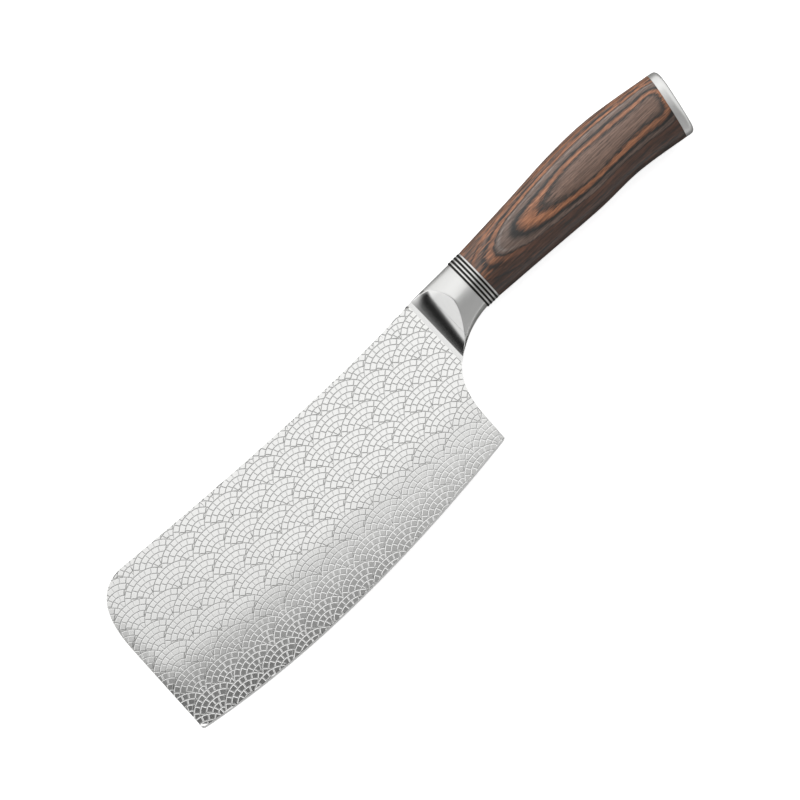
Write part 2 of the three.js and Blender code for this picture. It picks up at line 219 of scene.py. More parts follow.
class CleaverBolsterSizes(PropertyGroup):
    """The bolster and the forged root that it seats on."""

    length: length("Length", 20.7, "From the start of the hollow to the spacers")
    hollow_radius: length("Hollow radius", 12.6, "Radius of the hollow on each side, at the neck's axis")
    hollow_turn: number("Hollow turn", 0.68, "Sine of the steepest slope that the hollow reaches")
    hollow_flare: number("Hollow flare", 0.24, "Growth of that radius towards the spine")
    root_length: length("Root length", 6.7, "Length of the hollow that is forged on the blade")
    ridge_drop: length("Ridge drop", 2.0, "How far the widest line drops at the front")
    underside_front: length("Underside front", 0.8, "Width of the creased underside at the front")
    underside_rear: length("Underside rear", 2.0, "Width of the creased underside at the rear")
    underside_pull_at: length("Underside pull place", 11.4, "Where the underside's curve is pulled to")
    underside_pull: length("Underside pull", 12.1, "Drop that the underside's curve is pulled to")
    setback: length("Setback", 0.3, "How far the bolster stands below the spacers")
    crest_round: length("Crest rounding", 0.16, "Break of the crest between hollow and side")
    flat_swell: length("Flat swell", 3.4, "Length over which the spine's flat widens with the hollow")
    flat_fade: length("Flat fade", 7.0, "Length over which the flats of spine and underside run out")
    spine_round: length("Spine rounding", 1.0, "Rounding of the spine where its flat is widest")
    hollow_thinning: number("Hollow thinning", 0.45, "Share of the hollow's rise lost at the spine")
    thinning_height: length("Thinning height", 5.5, "Height below the spine over which that happens")
    hollow_lean: number("Hollow lean", 0.12, "Extra slope with which the hollow starts")
    lean_fade: length("Lean fade", 8.0, "Length over which that slope runs out")
    front_power: number("Front power", 1.35, "Power of the section at the front, where 2 is an ellipse")


class CleaverGripSizes(PropertyGroup):
    """The wood grip, by stations measured back from its front face."""

    top_at: lengths("Top stations", (0, 26.5, 52.5, 74, 101.5), "Places along the top")
    top: lengths("Top heights", (11.55, 13.2, 15.049, 14.749, 10.9), "Heights of the top there")
    bottom_at: lengths("Bottom stations", (0, 26.5, 52.5, 74, 96.4), "Places along the underside")
    bottom: lengths("Bottom drops", (11.55, 12.95, 14.3, 14.3, 17.3), "Drops of the underside there")
    thickness: lengths("Thicknesses", (17, 19.2, 20.999, 20.8, 20), "Thickness at the top stations")
    ridge_rise: length("Ridge rise", 2.3, "How far the widest line rises behind the neck")
    neck_power: number("Neck power", 1.8, "Power of the section at the neck, where 2 is an ellipse")
    grip_power: number("Grip power", 2.1, "Power of the section behind the neck")
    break_edge: length("Broken edge", 0.05, "Break of the sharp corners of grip and spacers")
    black_proud: length("Black proud", 0.12, "How far the black spacers stand proud of the steel ones")
    counterbore: length("Counterbore", 11.0, "Diameter of the counterbore behind the cap")
    counterbore_depth: length("Counterbore depth", 20.0, "Depth of the counterbore")
    bore: length("Bore", 5.6, "Diameter of the bore for the rod")
    slot_height: length("Slot height", 13.6, "Height of the slot for the tang")
    slot_width: length("Slot width", 2.8, "Width of the slot for the tang")
    slot_end: length("Slot end", 52.0, "Place where the slot turns into the bore")


class CleaverCapSizes(PropertyGroup):
    """The steel cap on the butt."""

    thickness: length("Thickness", 4.165, "Thickness of the cap at its rim")
    rim_radius: length("Rim radius", 2.0, "Rounding of the rim")
    crown: length("Crown", 0.36, "Rise of the cap's face over its middle")
    gap: length("Gap", 0.05, "Glue line between wood and cap")
    spigot: length("Spigot", 10.4, "Diameter of the spigot that plugs the counterbore")
    spigot_length: length("Spigot length", 5.35, "Length of the spigot inside the wood")


class CleaverTangSizes(PropertyGroup):
    """The tang inside the handle."""

    height: length("Height", 13.0, "Height of the tang at the bolster")
    tip_height: length("Tip height", 4.4, "Height of the tang's end")
    taper_start: length("Taper start", 6.33, "Place where the tang starts to narrow")
    taper_end: length("Taper end", 52.0, "Place where the tang stops narrowing")
    end: length("End", 62.0, "Place of the tang's end")


class CleaverFinishes(PropertyGroup):
    """Colours of the materials."""

    blade_steel: colour("Blade steel", (0.93, 0.93, 0.915), "Satin steel of the stones")
    # Painted highlight: the joints' lighter tone near the edge, which stands in for the light they catch
    # there
    highlit_joint: colour("Worn joint", (0.95, 0.95, 0.94), "Joints worn bright near the edge")
    joint_wall: colour("Joint wall", (0.86, 0.86, 0.85), "Sides of the joints, and the plain rims")
    joint_floor: colour("Joint floor", (0.52, 0.52, 0.51), "Bottoms of the joints")
    honed_edge: colour("Honed edge", (0.95, 0.95, 0.94), "Sharpened bevel")
    bright_steel: colour("Bright steel", (0.87, 0.87, 0.86), "Bolster and its hollow")
    white_steel: colour("White steel", (0.96, 0.96, 0.95), "Cap and steel spacers")
    zinc: colour("Zinc", (0.5, 0.51, 0.52), "Rod, washer and nut")
    black: colour("Black", (0.012, 0.011, 0.01), "Black spacers")
    brown: colour("Brown veneer", (0.17, 0.105, 0.078), "Broad brown veneers")
    taupe: colour("Taupe veneer", (0.15, 0.105, 0.085), "Greyish brown veneers")
    pale: colour("Pale veneer", (0.22, 0.18, 0.16), "Thin pale line")
    tan: colour("Tan veneer", (0.2, 0.115, 0.08), "Reddish brown veneers")
    orange: colour("Orange veneer", (0.33, 0.14, 0.07), "Orange veneers")
    # Painted shade: the next two are darkened copies of the orange and brown veneers for the grip's
    # underside
    shaded_orange: colour("Shaded_orange veneer", (0.105, 0.05, 0.032), "Dull orange veneer of the underside")
    shaded_brown: colour("Shaded_brown veneer", (0.066, 0.035, 0.024), "Dark brown veneers of the underside")
    charcoal: colour("Charcoal veneer", (0.022, 0.021, 0.02), "Dark dyed veneers")
    floor: colour("Floor", (0.85, 0.85, 0.85), "Pale studio floor")


class CleaverStageSizes(PropertyGroup):
    """Floor, light and camera."""

    view_turn: FloatProperty(
        name="View turn",
        description="Turn of the camera about its own line of sight",
        default=math.radians(-43.73),
        unit="ROTATION",
    )
    view_centre: lengths("View centre", (-50.47, -14.18), "Point under the camera, from the datum")
    view_width: length("View width", 315.2, "Width of the picture at the blade")
    view_distance: length("View distance", 1500.0, "Height of the camera over the blade")
    floor_size: length("Floor size", 16000.0, "Side of the floor")
    floor_lean: FloatVectorProperty(
        name="Floor lean",
        description="Normal of the floor, on which grip, neck and blade front all rest",
        default=(0.0328, 0.0322, 0.9989),
        size=3,
        subtype="DIRECTION",
    )
    lamp_at: lengths("Lamp place", (-100, 900, 1200), "Middle of the soft lamp, from the datum")
    lamp_size: lengths("Lamp size", (1400, 1000), "Width and height of the soft lamp")
    lamp_power: FloatProperty(name="Lamp power", description="Watts", default=9.0, unit="POWER")


class CleaverSettings(PropertyGroup):
    """All settings of the cleaver."""

    blade: PointerProperty(type=CleaverBladeSizes)
    paving: PointerProperty(type=CleaverPavingSizes)
    bolster: PointerProperty(type=CleaverBolsterSizes)
    grip: PointerProperty(type=CleaverGripSizes)
    cap: PointerProperty(type=CleaverCapSizes)
    tang: PointerProperty(type=CleaverTangSizes)
    finishes: PointerProperty(type=CleaverFinishes)
    stage: PointerProperty(type=CleaverStageSizes)


# Curves and sections

def mix(start, end, share):
    return start + (end - start) * share


def smooth_step(value, start, end):
    share = min(max((value - start) / (end - start), 0.0), 1.0)
    return share * share * (3 - 2 * share)


def pulled_curve(start, pull, end, count):
    """Points of a quadratic curve, without its end."""
    shares = np.arange(count)[:, None] / count
    start, pull, end = (np.array(point, float) for point in (start, pull, end))
    return (1 - shares) ** 2 * start + 2 * shares * (1 - shares) * pull + shares**2 * end


def straight(start, end, count):
    """Points of a straight line, without its end."""
    return pulled_curve(start, (np.array(start) + np.array(end)) / 2, end, count)


def share_along(start, pull, end, place):
    """The share of a quadratic curve at which it reaches a place along one axis."""
    bend = start - 2 * pull + end
    slope = 2 * (pull - start)
    root = np.sqrt(np.maximum(slope**2 - 4 * bend * (start - place), 0))
    return (root - slope) / (2 * bend)


def height_along(start, pull, end, place):
    """Height of a quadratic curve above a place along x."""
    share = share_along(start[0], pull[0], end[0], place)
    return (1 - share) ** 2 * start[1] + 2 * share * (1 - share) * pull[1] + share**2 * end[1]


def spline_point(places, values, share):
    """A point of the smooth curve through evenly counted stations, as (place, value)."""
    points = np.stack([places, values], axis=1)
    last = len(points) - 1
    index = min(int(share * last), last - 1)
    part = share * last - index
    before, here = points[max(index - 1, 0)], points[index]
    there, after = points[index + 1], points[min(index + 2, last)]
    leave, arrive = (there - before) / 2, (after - here) / 2
    cubic = 2 * here - 2 * there + leave + arrive
    square = -3 * here + 3 * there - 2 * leave - arrive
    return cubic * part**3 + square * part**2 + leave * part + here


def egg_point(angle, bottom, top, ridge, half, power):
    """Height and distance from the blade's plane on the egg-shaped section, turned from its top."""
    across, out = math.cos(angle), math.sin(angle)
    reach = top - ridge if across > 0 else ridge - bottom
    height = ridge + reach * math.copysign(abs(across) ** (2 / power), across)
    return height, half * math.copysign(abs(out) ** (2 / power), out)


# Mesh building

def add_ring(mesh, points):
    """Vertices for points that are measured from the datum."""
    return [mesh.verts.new(Vector(point) + DATUM) for point in points]


def skin(mesh, rings, closed=False):
    """Quads between rings of equal count. A closed skin runs from the last ring back to the first."""
    count = len(rings[0])
    for here, there in zip(rings, rings[1:] + rings[:1] if closed else rings[1:]):
        for i in range(count):
            j = (i + 1) % count
            mesh.faces.new((here[i], here[j], there[j], there[i]))


def merge_mesh(mesh):
    """Merges what coincides and drops faces without area."""
    bmesh.ops.remove_doubles(mesh, verts=mesh.verts, dist=MERGE_DISTANCE)
    bmesh.ops.dissolve_degenerate(mesh, edges=mesh.edges, dist=MERGE_DISTANCE / 2)


def add_object(name, data):
    made = bpy.data.objects.new(name, data)
    bpy.context.scene.collection.objects.link(made)
    return made


def make_piece(name, mesh, materials, nodes, flat_materials=()):
    """Turns built faces outwards and into a piece that rides on the frame and stands for CAD nodes."""
    merge_mesh(mesh)
    bmesh.ops.recalc_face_normals(mesh, faces=mesh.faces)
    data = bpy.data.meshes.new(name)
    mesh.to_mesh(data)
    mesh.free()
    for material in materials:
        data.materials.append(material)
    data.set_sharp_from_angle(angle=SMOOTH_ANGLE)
    smooth = [face.material_index not in flat_materials for face in data.polygons]
    data.polygons.foreach_set("use_smooth", smooth)
    piece = add_object(name, data)
    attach(piece, BODY)
    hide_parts(*nodes)


def window_ring(x, height, width):
    """A rectangular ring about the neck's axis, with as many points as the sections."""
    points = []
    for angle in SECTION_ANGLES:
        across, out = math.cos(angle), math.sin(angle)
        reach = min(height / 2 / max(abs(across), TINY), width / 2 / max(abs(out), TINY))
        points.append((x, reach * across, reach * out))
    return points


def round_ring(place, diameter):
    """A round ring about the neck's axis. Its place along x is a function of its height."""
    points = []
    for angle in SECTION_ANGLES:
        height = diameter / 2 * math.cos(angle)
        points.append((place(height), height, diameter / 2 * math.sin(angle)))
    return points


def window_corners(mesh, x, height, width):
    corners = [(-height, -width), (height, -width), (height, width), (-height, width)]
    return add_ring(mesh, [(x, y / 2, z / 2) for y, z in corners])


def ring_edges(mesh, ring):
    pairs = zip(ring, ring[1:] + ring[:1])
    return [mesh.edges.get(pair) or mesh.edges.new(pair) for pair in pairs]


def fill_around_window(mesh, outer_edges, window):
    """Closes a flat end between its outer edges and a window."""
    edges = list(outer_edges) + ring_edges(mesh, window)
    bmesh.ops.triangle_fill(mesh, use_beauty=True, edges=edges)


# Blade

class BladeShape:
    """The blade's side view and thickness. Places are measured from the datum."""

    def __init__(self, blade, bolster):
        self.blade = blade
        self.hollow = -bolster.length
        self.front = self.hollow - blade.length
        self.heel = self.hollow - blade.heel_setback
        self.edge = (
            (self.front, -blade.front_corner),
            (self.front + blade.belly_pull_at, -blade.belly_pull),
            (self.heel, -blade.heel_drop),
        )

    def edge_height(self, x):
        return height_along(*self.edge, np.clip(x, self.front, self.heel))

    def half_thickness(self, points):
        """Half the blade's thickness at points of its side view: bevel, bulged grind, parallel flats."""
        blade = self.blade
        rise = points[:, 1] - self.edge_height(points[:, 0])
        bevel = blade.bevel_thickness / 2 * np.clip(rise / blade.bevel_height, 0, 1)
        share = np.clip((rise - blade.bevel_height) / (blade.grind_height - blade.bevel_height), 0, 1)
        swell = 1 - (1 - share) ** blade.grind_power
        behind = points[:, 0] - self.front_line(points[:, 1])[0]
        ease = np.clip(1 - behind / blade.front_ease, 0, 1) ** 2 * swell
        return bevel + (blade.thickness - blade.bevel_thickness) / 2 * swell - blade.front_drop * ease

    def front_line(self, y):
        slope = self.blade.front_lean / (self.blade.front_corner - self.blade.front_straight)
        return (self.front + slope * (y + self.blade.front_corner), y)

    def heel_line(self, y):
        slope = self.blade.heel_lean / (self.blade.heel_drop - self.blade.choil_start)
        return (self.heel + slope * (y + self.blade.heel_drop), y)

    def outline(self, joint_heights):
        """The side view as a loop, and how far its broken or sharpened rim reaches in at each point."""
        blade = self.blade
        rim, bevel, radius = blade.rim_round, blade.bevel_height, blade.corner_radius
        edge = pulled_curve(*self.edge, EDGE_STEPS)
        length_of_edge = np.linalg.norm(np.diff(edge, axis=0), axis=1).sum()
        skipped = max(1, round(radius / length_of_edge * EDGE_STEPS))
        edge = edge[skipped : EDGE_STEPS - skipped + 1]
        heel_corner = (self.heel, -blade.heel_drop)
        front_corner = (self.front, -blade.front_corner)
        heel_top = self.heel_line(radius - blade.heel_drop)
        choil_start = self.heel_line(-blade.choil_start)
        choil_end = (self.hollow, -blade.choil_end)
        spine_rear = (self.hollow, blade.spine_rear)
        spine_pull = (self.hollow - blade.spine_dip_at, blade.spine_dip)
        spine_front = (self.front + blade.tip_rounding, blade.spine_front)
        front_top = self.front_line(-blade.front_straight)
        front_low = self.front_line(radius - blade.front_corner)
        tip_pull = self.front_line(blade.spine_front)
        choil_pull = self.heel_line(-blade.choil_pull)
        joint = [(self.hollow, height) for height in joint_heights[:-1]]
        runs = [
            (edge[:-1], bevel, bevel),
            (pulled_curve(edge[-1], heel_corner, heel_top, CORNER_STEPS), bevel, rim),
            (straight(heel_top, choil_start, STRAIGHT_STEPS), rim, rim),
            (pulled_curve(choil_start, choil_pull, choil_end, CURVE_STEPS), rim, 0),
            (np.array(joint), 0, 0),
            (pulled_curve(spine_rear, spine_pull, spine_front, 2 * CURVE_STEPS), 0, rim),
            (pulled_curve(spine_front, tip_pull, front_top, CURVE_STEPS), rim, rim),
            (straight(front_top, front_low, STRAIGHT_STEPS), rim, rim),
            (pulled_curve(front_low, front_corner, edge[0], CORNER_STEPS), rim, bevel),
        ]
        insets = [np.linspace(start, end, len(points)) for points, start, end in runs]
        return np.concatenate([points for points, _, _ in runs]), np.concatenate(insets)


def inward_normals(loop):
    """Unit normals of a counter-clockwise loop, pointing inside."""
    along = np.roll(loop, -1, axis=0) - np.roll(loop, 1, axis=0)
    along /= np.linalg.norm(along, axis=1)[:, None]
    return np.stack([-along[:, 1], along[:, 0]], axis=1)


def distance_inside(loop, points):
    """How far points lie inside a closed loop, negative outside."""
    start, end = loop, np.roll(loop, -1, axis=0)
    way = end - start
    from_start = points[:, None, :] - start[None]
    share = np.clip((from_start * way).sum(2) / (way * way).sum(1), 0, 1)
    nearest = np.linalg.norm(from_start - share[..., None] * way, axis=2).min(1)
    above = (start[None, :, 1] > points[:, None, 1]) != (end[None, :, 1] > points[:, None, 1])
    rise = np.where(way[:, 1] == 0, 1, way[:, 1])
    cross = start[None, :, 0] + (points[:, None, 1] - start[None, :, 1]) / rise * way[:, 0]
    inside = (above & (points[:, None, 0] < cross)).sum(1) % 2 == 1
    return np.where(inside, nearest, -nearest)


def cut_polygon(polygon, keep):
    """The part of a small polygon where a function of its points isn't negative."""
    values = keep(polygon)
    if (values >= 0).all():
        return polygon
    kept = []
    for i in range(len(polygon)):
        j = (i + 1) % len(polygon)
        if values[i] >= 0:
            kept.append(polygon[i])
        if (values[i] >= 0) != (values[j] >= 0):
            kept.append(mix(polygon[i], polygon[j], values[i] / (values[i] - values[j])))
    return np.array(kept)


def mean_width(polygon):
    """Twice a polygon's area over the length of its outline."""
    following = np.roll(polygon, -1, axis=0)
    twice_area = (polygon[:, 0] * following[:, 1] - polygon[:, 1] * following[:, 0]).sum()
    return twice_area / np.linalg.norm(following - polygon, axis=1).sum()


def clean_polygon(polygon, least):
    """Drops points that nearly coincide with the one before."""
    kept = [point for i, point in enumerate(polygon) if np.linalg.norm(point - polygon[i - 1]) > least]
    return np.array(kept)


def shrink_polygon(polygon, widths):
    """The polygon with each side moved in by its own width."""
    normals = np.roll(polygon, -1, axis=0) - polygon
    normals = np.stack([-normals[:, 1], normals[:, 0]], axis=1)
    normals /= np.linalg.norm(normals, axis=1)[:, None]
    before = np.roll(normals, 1, axis=0)
    widths_before = np.roll(widths, 1)
    cosine = (normals * before).sum(1)
    spread = np.maximum(1 - cosine**2, LEAST_SPREAD)
    here = (widths - cosine * widths_before) / spread
    there = (widths_before - cosine * widths) / spread
    straight_on = cosine > STRAIGHT_ON
    lesser = np.minimum(widths, widths_before) / 2
    here = np.where(straight_on, lesser, here)
    there = np.where(straight_on, lesser, there)
    return polygon + here[:, None] * normals + there[:, None] * before


def add_run_outs(stone, is_open, reach):
    """Adds corners that stay sunk, close to those that lie on a plain rim."""
    points, flags = [], []
    for i in range(len(stone)):
        j = (i + 1) % len(stone)
        points.append(stone[i])
        flags.append(is_open[i])
        side = np.linalg.norm(stone[j] - stone[i])
        if is_open[i] != is_open[j] and side > 2 * reach:
            share = reach / side if is_open[i] else 1 - reach / side
            points.append(mix(stone[i], stone[j], share))
            flags.append(False)
    return np.array(points), np.array(flags)


def fan_gauge(paving, points):
    """Height of the fan whose outline runs through each point."""
    x, y = np.abs(points[..., 0]) / paving.waist, np.abs(points[..., 1])
    return (x**paving.fan_power + y**paving.fan_power) ** (1 / paving.fan_power)


def fan_point(paving, height, angle):
    """The point at an angle on the outline of a fan of some height."""
    way = np.array((math.cos(angle), math.sin(angle)))
    return way * height / fan_gauge(paving, way)


def stone_outline(paving, ring, index):
    """One stone of a fan about its centre, narrowed by half a joint on every side."""
    half_joint = paving.joint / 2
    ring_width = paving.fan_height / len(paving.stones)
    outer = paving.fan_height - ring * ring_width - half_joint
    inner = outer - ring_width + paving.joint
    start = math.pi * index / paving.stones[ring]
    end = math.pi * (index + 1) / paving.stones[ring]
    is_wedge = inner < paving.joint
    trim = math.asin(half_joint / outer)
    angles = np.linspace(start + trim, end - trim, 2 * ARC_STEPS if is_wedge else ARC_STEPS + 1)
    points = [fan_point(paving, outer, angle) for angle in angles]
    if is_wedge:
        reach = half_joint / math.sin((end - start) / 2)
        points.append(fan_point(paving, reach, (start + end) / 2))
    else:
        trim = math.asin(half_joint / inner)
        angles = np.linspace(end - trim, start + trim, ARC_STEPS)
        points += [fan_point(paving, inner, angle) for angle in angles]
    return np.array(points)


def fan_columns(paving, low, high):
    """Places of the columns that reach between two places, each with its number in the repeat."""
    steps = paving.column_steps
    repeats = math.ceil((paving.first_column - low) / sum(steps)) + 1
    x = paving.first_column - repeats * sum(steps)
    index = 0
    while x < high + paving.fan_height:
        yield index, x
        x += steps[index]
        index = (index + 1) % len(steps)


def fan_stones(paving, column):
    """Outlines of a fan's stones about its centre, cut by the fans beside it and below it."""
    steps = paving.column_steps
    height, half_joint = paving.fan_height, paving.joint / 2
    before, after = steps[column - 1], steps[column]
    left = (before + steps[column - 2]) / 2 - half_joint
    right = (after + steps[(column + 1) % len(steps)]) / 2 - half_joint
    clear = height + half_joint
    cuts = [lambda points: right - points[:, 0], lambda points: left + points[:, 0]]
    for cover in ((-before, -height / 2), (after, -height / 2), (0, -height)):
        cuts.append(lambda points, cover=cover: fan_gauge(paving, points - cover) - clear)
    stones = [
        stone_outline(paving, ring, index)
        for ring, count in enumerate(paving.stones)
        for index in range(count)
    ]
    for cut in cuts:
        stones = [cut_polygon(stone, cut) for stone in stones]
        stones = [stone for stone in stones if len(stone) > 2]
    return stones


def trim_stone(paving, outline, inside):
    """A stone cut by the plain rims and its corners on them, or None where too little is left."""
    stone = cut_polygon(outline, inside)
    if len(stone) > 2:
        stone = clean_polygon(stone, paving.stone_bevel * SHORTEST_SIDE)
    if len(stone) < 3:
        return None
    is_open = inside(stone) < paving.rim_margin / 2
    least = paving.rim_narrowest if is_open.any() else paving.narrowest
    if mean_width(stone) <= least:
        return None
    return add_run_outs(stone, is_open, paving.run_out)


def paving_stones(paving, shape, loop):
    """The stones on one side of the blade, each with marks on its corners that lie on a plain rim."""
    blade, height = shape.blade, paving.fan_height
    edge_rise = blade.bevel_height + paving.edge_margin
    last_x = shape.hollow - paving.bolster_margin
    low, high = loop.min(0), loop.max(0)

    def inside(points):
        rise = points[:, 1] - shape.edge_height(points[:, 0]) - edge_rise
        rim = distance_inside(loop, points) - blade.rim_round - paving.rim_margin
        return np.minimum(np.minimum(rise, rim), last_x - points[:, 0])

    stones = []
    for column, x in fan_columns(paving, low[0], high[0]):
        fan = fan_stones(paving, column)
        y = paving.first_top - height + (column % 2) * height / 2
        y += math.ceil((high[1] - y) / height) * height
        while y + height > low[1]:
            centre = np.array((x, y))
            stones += [trim_stone(paving, outline + centre, inside) for outline in fan]
            y -= height
    return [stone for stone in stones if stone]


class PavedSides:
    """The blade's side view cut into triangles around its stones, which both sides are made from."""

    def __init__(self, shape, paving, joint_heights):
        self.shape = shape
        self.paving = paving
        self.loop, self.insets = shape.outline(joint_heights)
        self.stones = paving_stones(paving, shape, self.loop)
        self.flatten()
        self.heights = shape.half_thickness(self.points)
        deepest = DEEPEST_BREAK * self.heights[self.rim]
        self.heights[self.rim] -= np.minimum(np.minimum(self.insets, shape.blade.rim_round), deepest)

    def strip_line(self):
        """A line across the blade where the paving ends and the plain strip before the hollow begins."""
        blade, paving = self.shape.blade, self.paving
        x = self.shape.hollow - paving.bolster_margin + paving.rim_margin
        low, high = -blade.choil_end, blade.spine_rear
        heights = np.linspace(low - 2 * paving.bolster_margin, high + paving.bolster_margin, STRIP_STEPS)
        line = np.column_stack([np.full(len(heights), x), heights])
        return line[distance_inside(self.loop, line) > blade.rim_round + paving.rim_margin]

    def flatten(self):
        """Cuts the side view into triangles around the stones, and finds rim and stones again."""
        count = len(self.loop)
        inner = self.loop + inward_normals(self.loop) * self.insets[:, None]
        strip = self.strip_line()
        outlines = [stone for stone, _ in self.stones]
        corners = np.concatenate([self.loop, inner, strip, *outlines])
        first_stone = 2 * count + len(strip)
        edges = [(count + i, count + (i + 1) % count) for i in range(count) if self.insets[i] > 0]
        edges += [(i, i + 1) for i in range(2 * count, first_stone - 1)]
        faces = [list(range(count))]
        first = first_stone
        for outline in outlines:
            faces.append(list(range(first, first + len(outline))))
            first += len(outline)
        places, _, triangles, from_verts, _, from_faces = delaunay_2d_cdt(
            [Vector(corner) for corner in corners], edges, faces, INSIDE_ONLY, MERGE_DISTANCE / 10
        )
        new_index = {old: new for new, olds in enumerate(from_verts) for old in olds}
        around = [bool(olds) and max(olds) == 0 for olds in from_faces]
        self.triangles = [triangle for triangle, keep in zip(triangles, around) if keep]
        self.feet = [[new_index[i] for i in face] for face in faces[1:]]
        self.rim = [new_index[i] for i in range(count)]
        self.points = np.array([tuple(place) for place in places])
        self.mark_points(from_verts, first_stone, strip[0, 0])

    def mark_points(self, from_verts, first_stone, strip_x):
        """Notes which points are sunk, which lie in the plain rims or strip, and which on the bevel."""
        is_sunk = [False] * first_stone
        for _, is_open in self.stones:
            is_sunk.extend(~is_open)
        self.sunk = np.array([any(is_sunk[old] for old in olds) for olds in from_verts])
        first_inside = 2 * len(self.loop)
        in_rim = [min(olds, default=first_inside) < first_inside for olds in from_verts]
        self.matt = np.array(in_rim) | (self.points[:, 0] > strip_x - MERGE_DISTANCE)
        rise = self.points[:, 1] - self.shape.edge_height(self.points[:, 0])
        self.honed = rise < self.shape.blade.bevel_height * BEVEL_REACH

    def add_stone(self, mesh, stone, is_open, foot, side):
        """A stone's top and its sloped sides, which run out into the plain rims."""
        bevel = min(self.paving.stone_bevel, WIDEST_BEVEL * mean_width(stone))
        widths = np.where(is_open & np.roll(is_open, -1), 0.0, bevel)
        top = shrink_polygon(stone, widths)
        tops = add_ring(mesh, np.column_stack([top, side * self.shape.half_thickness(top)]))
        for i in range(len(foot)):
            j = (i + 1) % len(foot)
            wall = [foot[i], *(foot[j], tops[j], tops[i])[::side]]
            mesh.faces.new(wall).material_index = JOINT_WALL if widths[i] > 0 else STONE
        mesh.faces.new([tops[0], *tops[1:][::side]])

    def add_side(self, mesh, side):
        """One side of the blade: the sunk joints, the plain rims and the stones. Gives its points."""
        depth = np.where(self.sunk, self.paving.relief, 0)
        verts = add_ring(mesh, np.column_stack([self.points, side * (self.heights - depth)]))
        for triangle in self.triangles:
            face = mesh.faces.new([verts[i] for i in (triangle[0], *triangle[1:][::side])])
            if self.honed[triangle].all():
                face.material_index = HONED
            elif self.sunk[triangle].any():
                face.material_index = JOINT_FLOOR
            elif self.matt[triangle].all():
                face.material_index = JOINT_WALL
        for (stone, is_open), foot in zip(self.stones, self.feet):
            self.add_stone(mesh, stone, is_open, [verts[i] for i in foot], side)
        return verts

    def add_to(self, mesh):
        """Both sides, joined all round except at the hollow and where they meet in the edge."""
        upper, lower = (self.add_side(mesh, side) for side in (1, -1))
        joint_x = self.shape.hollow - MERGE_DISTANCE
        for i, here in enumerate(self.rim):
            there = self.rim[(i + 1) % len(self.rim)]
            at_hollow = min(self.points[here][0], self.points[there][0]) > joint_x
            if not at_hollow and self.heights[here] + self.heights[there] > MERGE_DISTANCE:
                mesh.faces.new((upper[here], lower[here], lower[there], upper[there]))


# Neck: the forged root and the bolster

class NeckShape:
    """The egg-shaped neck between blade and spacers, with a hollow in each side."""

    def __init__(self, settings):
        blade, bolster, grip = settings.blade, settings.bolster, settings.grip
        self.bolster = bolster
        self.start = -bolster.length
        self.core = blade.thickness / 2
        self.half = grip.thickness[0] / 2 - bolster.setback
        self.rear_height = grip.top[0] - bolster.setback
        self.front_top = blade.spine_rear
        self.neck_power = grip.neck_power
        self.underside = (
            (self.start, -blade.choil_end),
            (-bolster.underside_pull_at, -bolster.underside_pull),
            (0.0, -self.rear_height),
        )

    def column(self, index, x):
        """Height and reach of one line along the neck: up the creased underside, then up the side."""
        bolster = self.bolster
        share = (x - self.start) / bolster.length
        bottom = float(height_along(*self.underside, x))
        width = mix(bolster.underside_front, bolster.underside_rear, share)
        top = mix(self.front_top, self.rear_height, share)
        ridge = -bolster.ridge_drop * (1 - share)
        power = mix(bolster.front_power, self.neck_power, share)
        lowest = bottom - width
        crease_share = (ridge - bottom - width) / (ridge - lowest)
        turn = math.acos(-(crease_share ** (power / 2)))
        if index < UNDERSIDE_STEPS:
            out = index / UNDERSIDE_STEPS
            crease = egg_point(turn, lowest, top, ridge, self.half, power)[1]
            return bottom + width * out * out, crease * out
        rise = (index - UNDERSIDE_STEPS) / SECTION_STEPS
        return egg_point(turn * (1 - rise), lowest, top, ridge, self.half, power)

    def hollow(self, x, height):
        """How far the hollow's side stands from the blade's plane."""
        radius = self.bolster.hollow_radius + self.bolster.hollow_flare * height
        along = x - self.start
        fade = max(1 - along / self.bolster.lean_fade, 0)
        lean = self.bolster.hollow_lean * along * fade * fade
        arc = min(along, radius * self.bolster.hollow_turn)
        depth = math.sqrt(radius * radius - arc * arc)
        rise = radius - depth + lean + (along - arc) * arc / depth
        near = min(max(1 - (self.front_top - height) / self.bolster.thinning_height, 0), 1)
        return self.core + rise * (1 - self.bolster.hollow_thinning * near * near)

    def side(self, index, x):
        """Height and reach of one line along the neck, before the hollow is cut.

        Spine and underside start as flats of the blade's thickness. The spine's flat first widens.
        """
        height, reach = self.column(index, x)
        peak = self.start + (self.bolster.flat_swell if height > 0 else 0.0)
        fade = smooth_step(x, peak, peak + self.bolster.flat_fade)
        flat = self.hollow(min(x, peak), height) * (1 - fade)
        if height > 0:
            rounding = self.bolster.spine_round * smooth_step(x, self.start, peak)
            top = self.column(UNDERSIDE_STEPS + SECTION_STEPS, x)[0]
            share = max(1 - (top - height) / max(rounding, MERGE_DISTANCE), 0.0)
            flat *= math.sqrt(max(1 - share * share, 0.0)) if rounding > MERGE_DISTANCE else 1.0
        return height, max(reach, flat)

    def crest(self, index):
        """Where a line along the neck climbs out of the hollow."""
        low, high = self.start, 0.0
        for _ in range(CREST_HALVINGS):
            middle = (low + high) / 2
            height, reach = self.side(index, middle)
            if self.hollow(middle, height) <= reach + MERGE_DISTANCE:
                low = middle
            else:
                high = middle
        return low

    def line(self, index):
        """Points of one line along the neck, through the hollow, over the broken crest and back."""
        crest = self.crest(index)
        soft = min(self.bolster.crest_round, (crest - self.start) / 2)
        places = list(np.linspace(self.start, crest - soft, HOLLOW_STEPS))
        places += list(np.linspace(crest + soft, 0, NECK_STEPS))
        points = []
        for i, x in enumerate(places):
            height, reach = self.side(index, x)
            if i < HOLLOW_STEPS:
                reach = min(reach, self.hollow(x, height))
            points.append((x, height, reach))
        return points


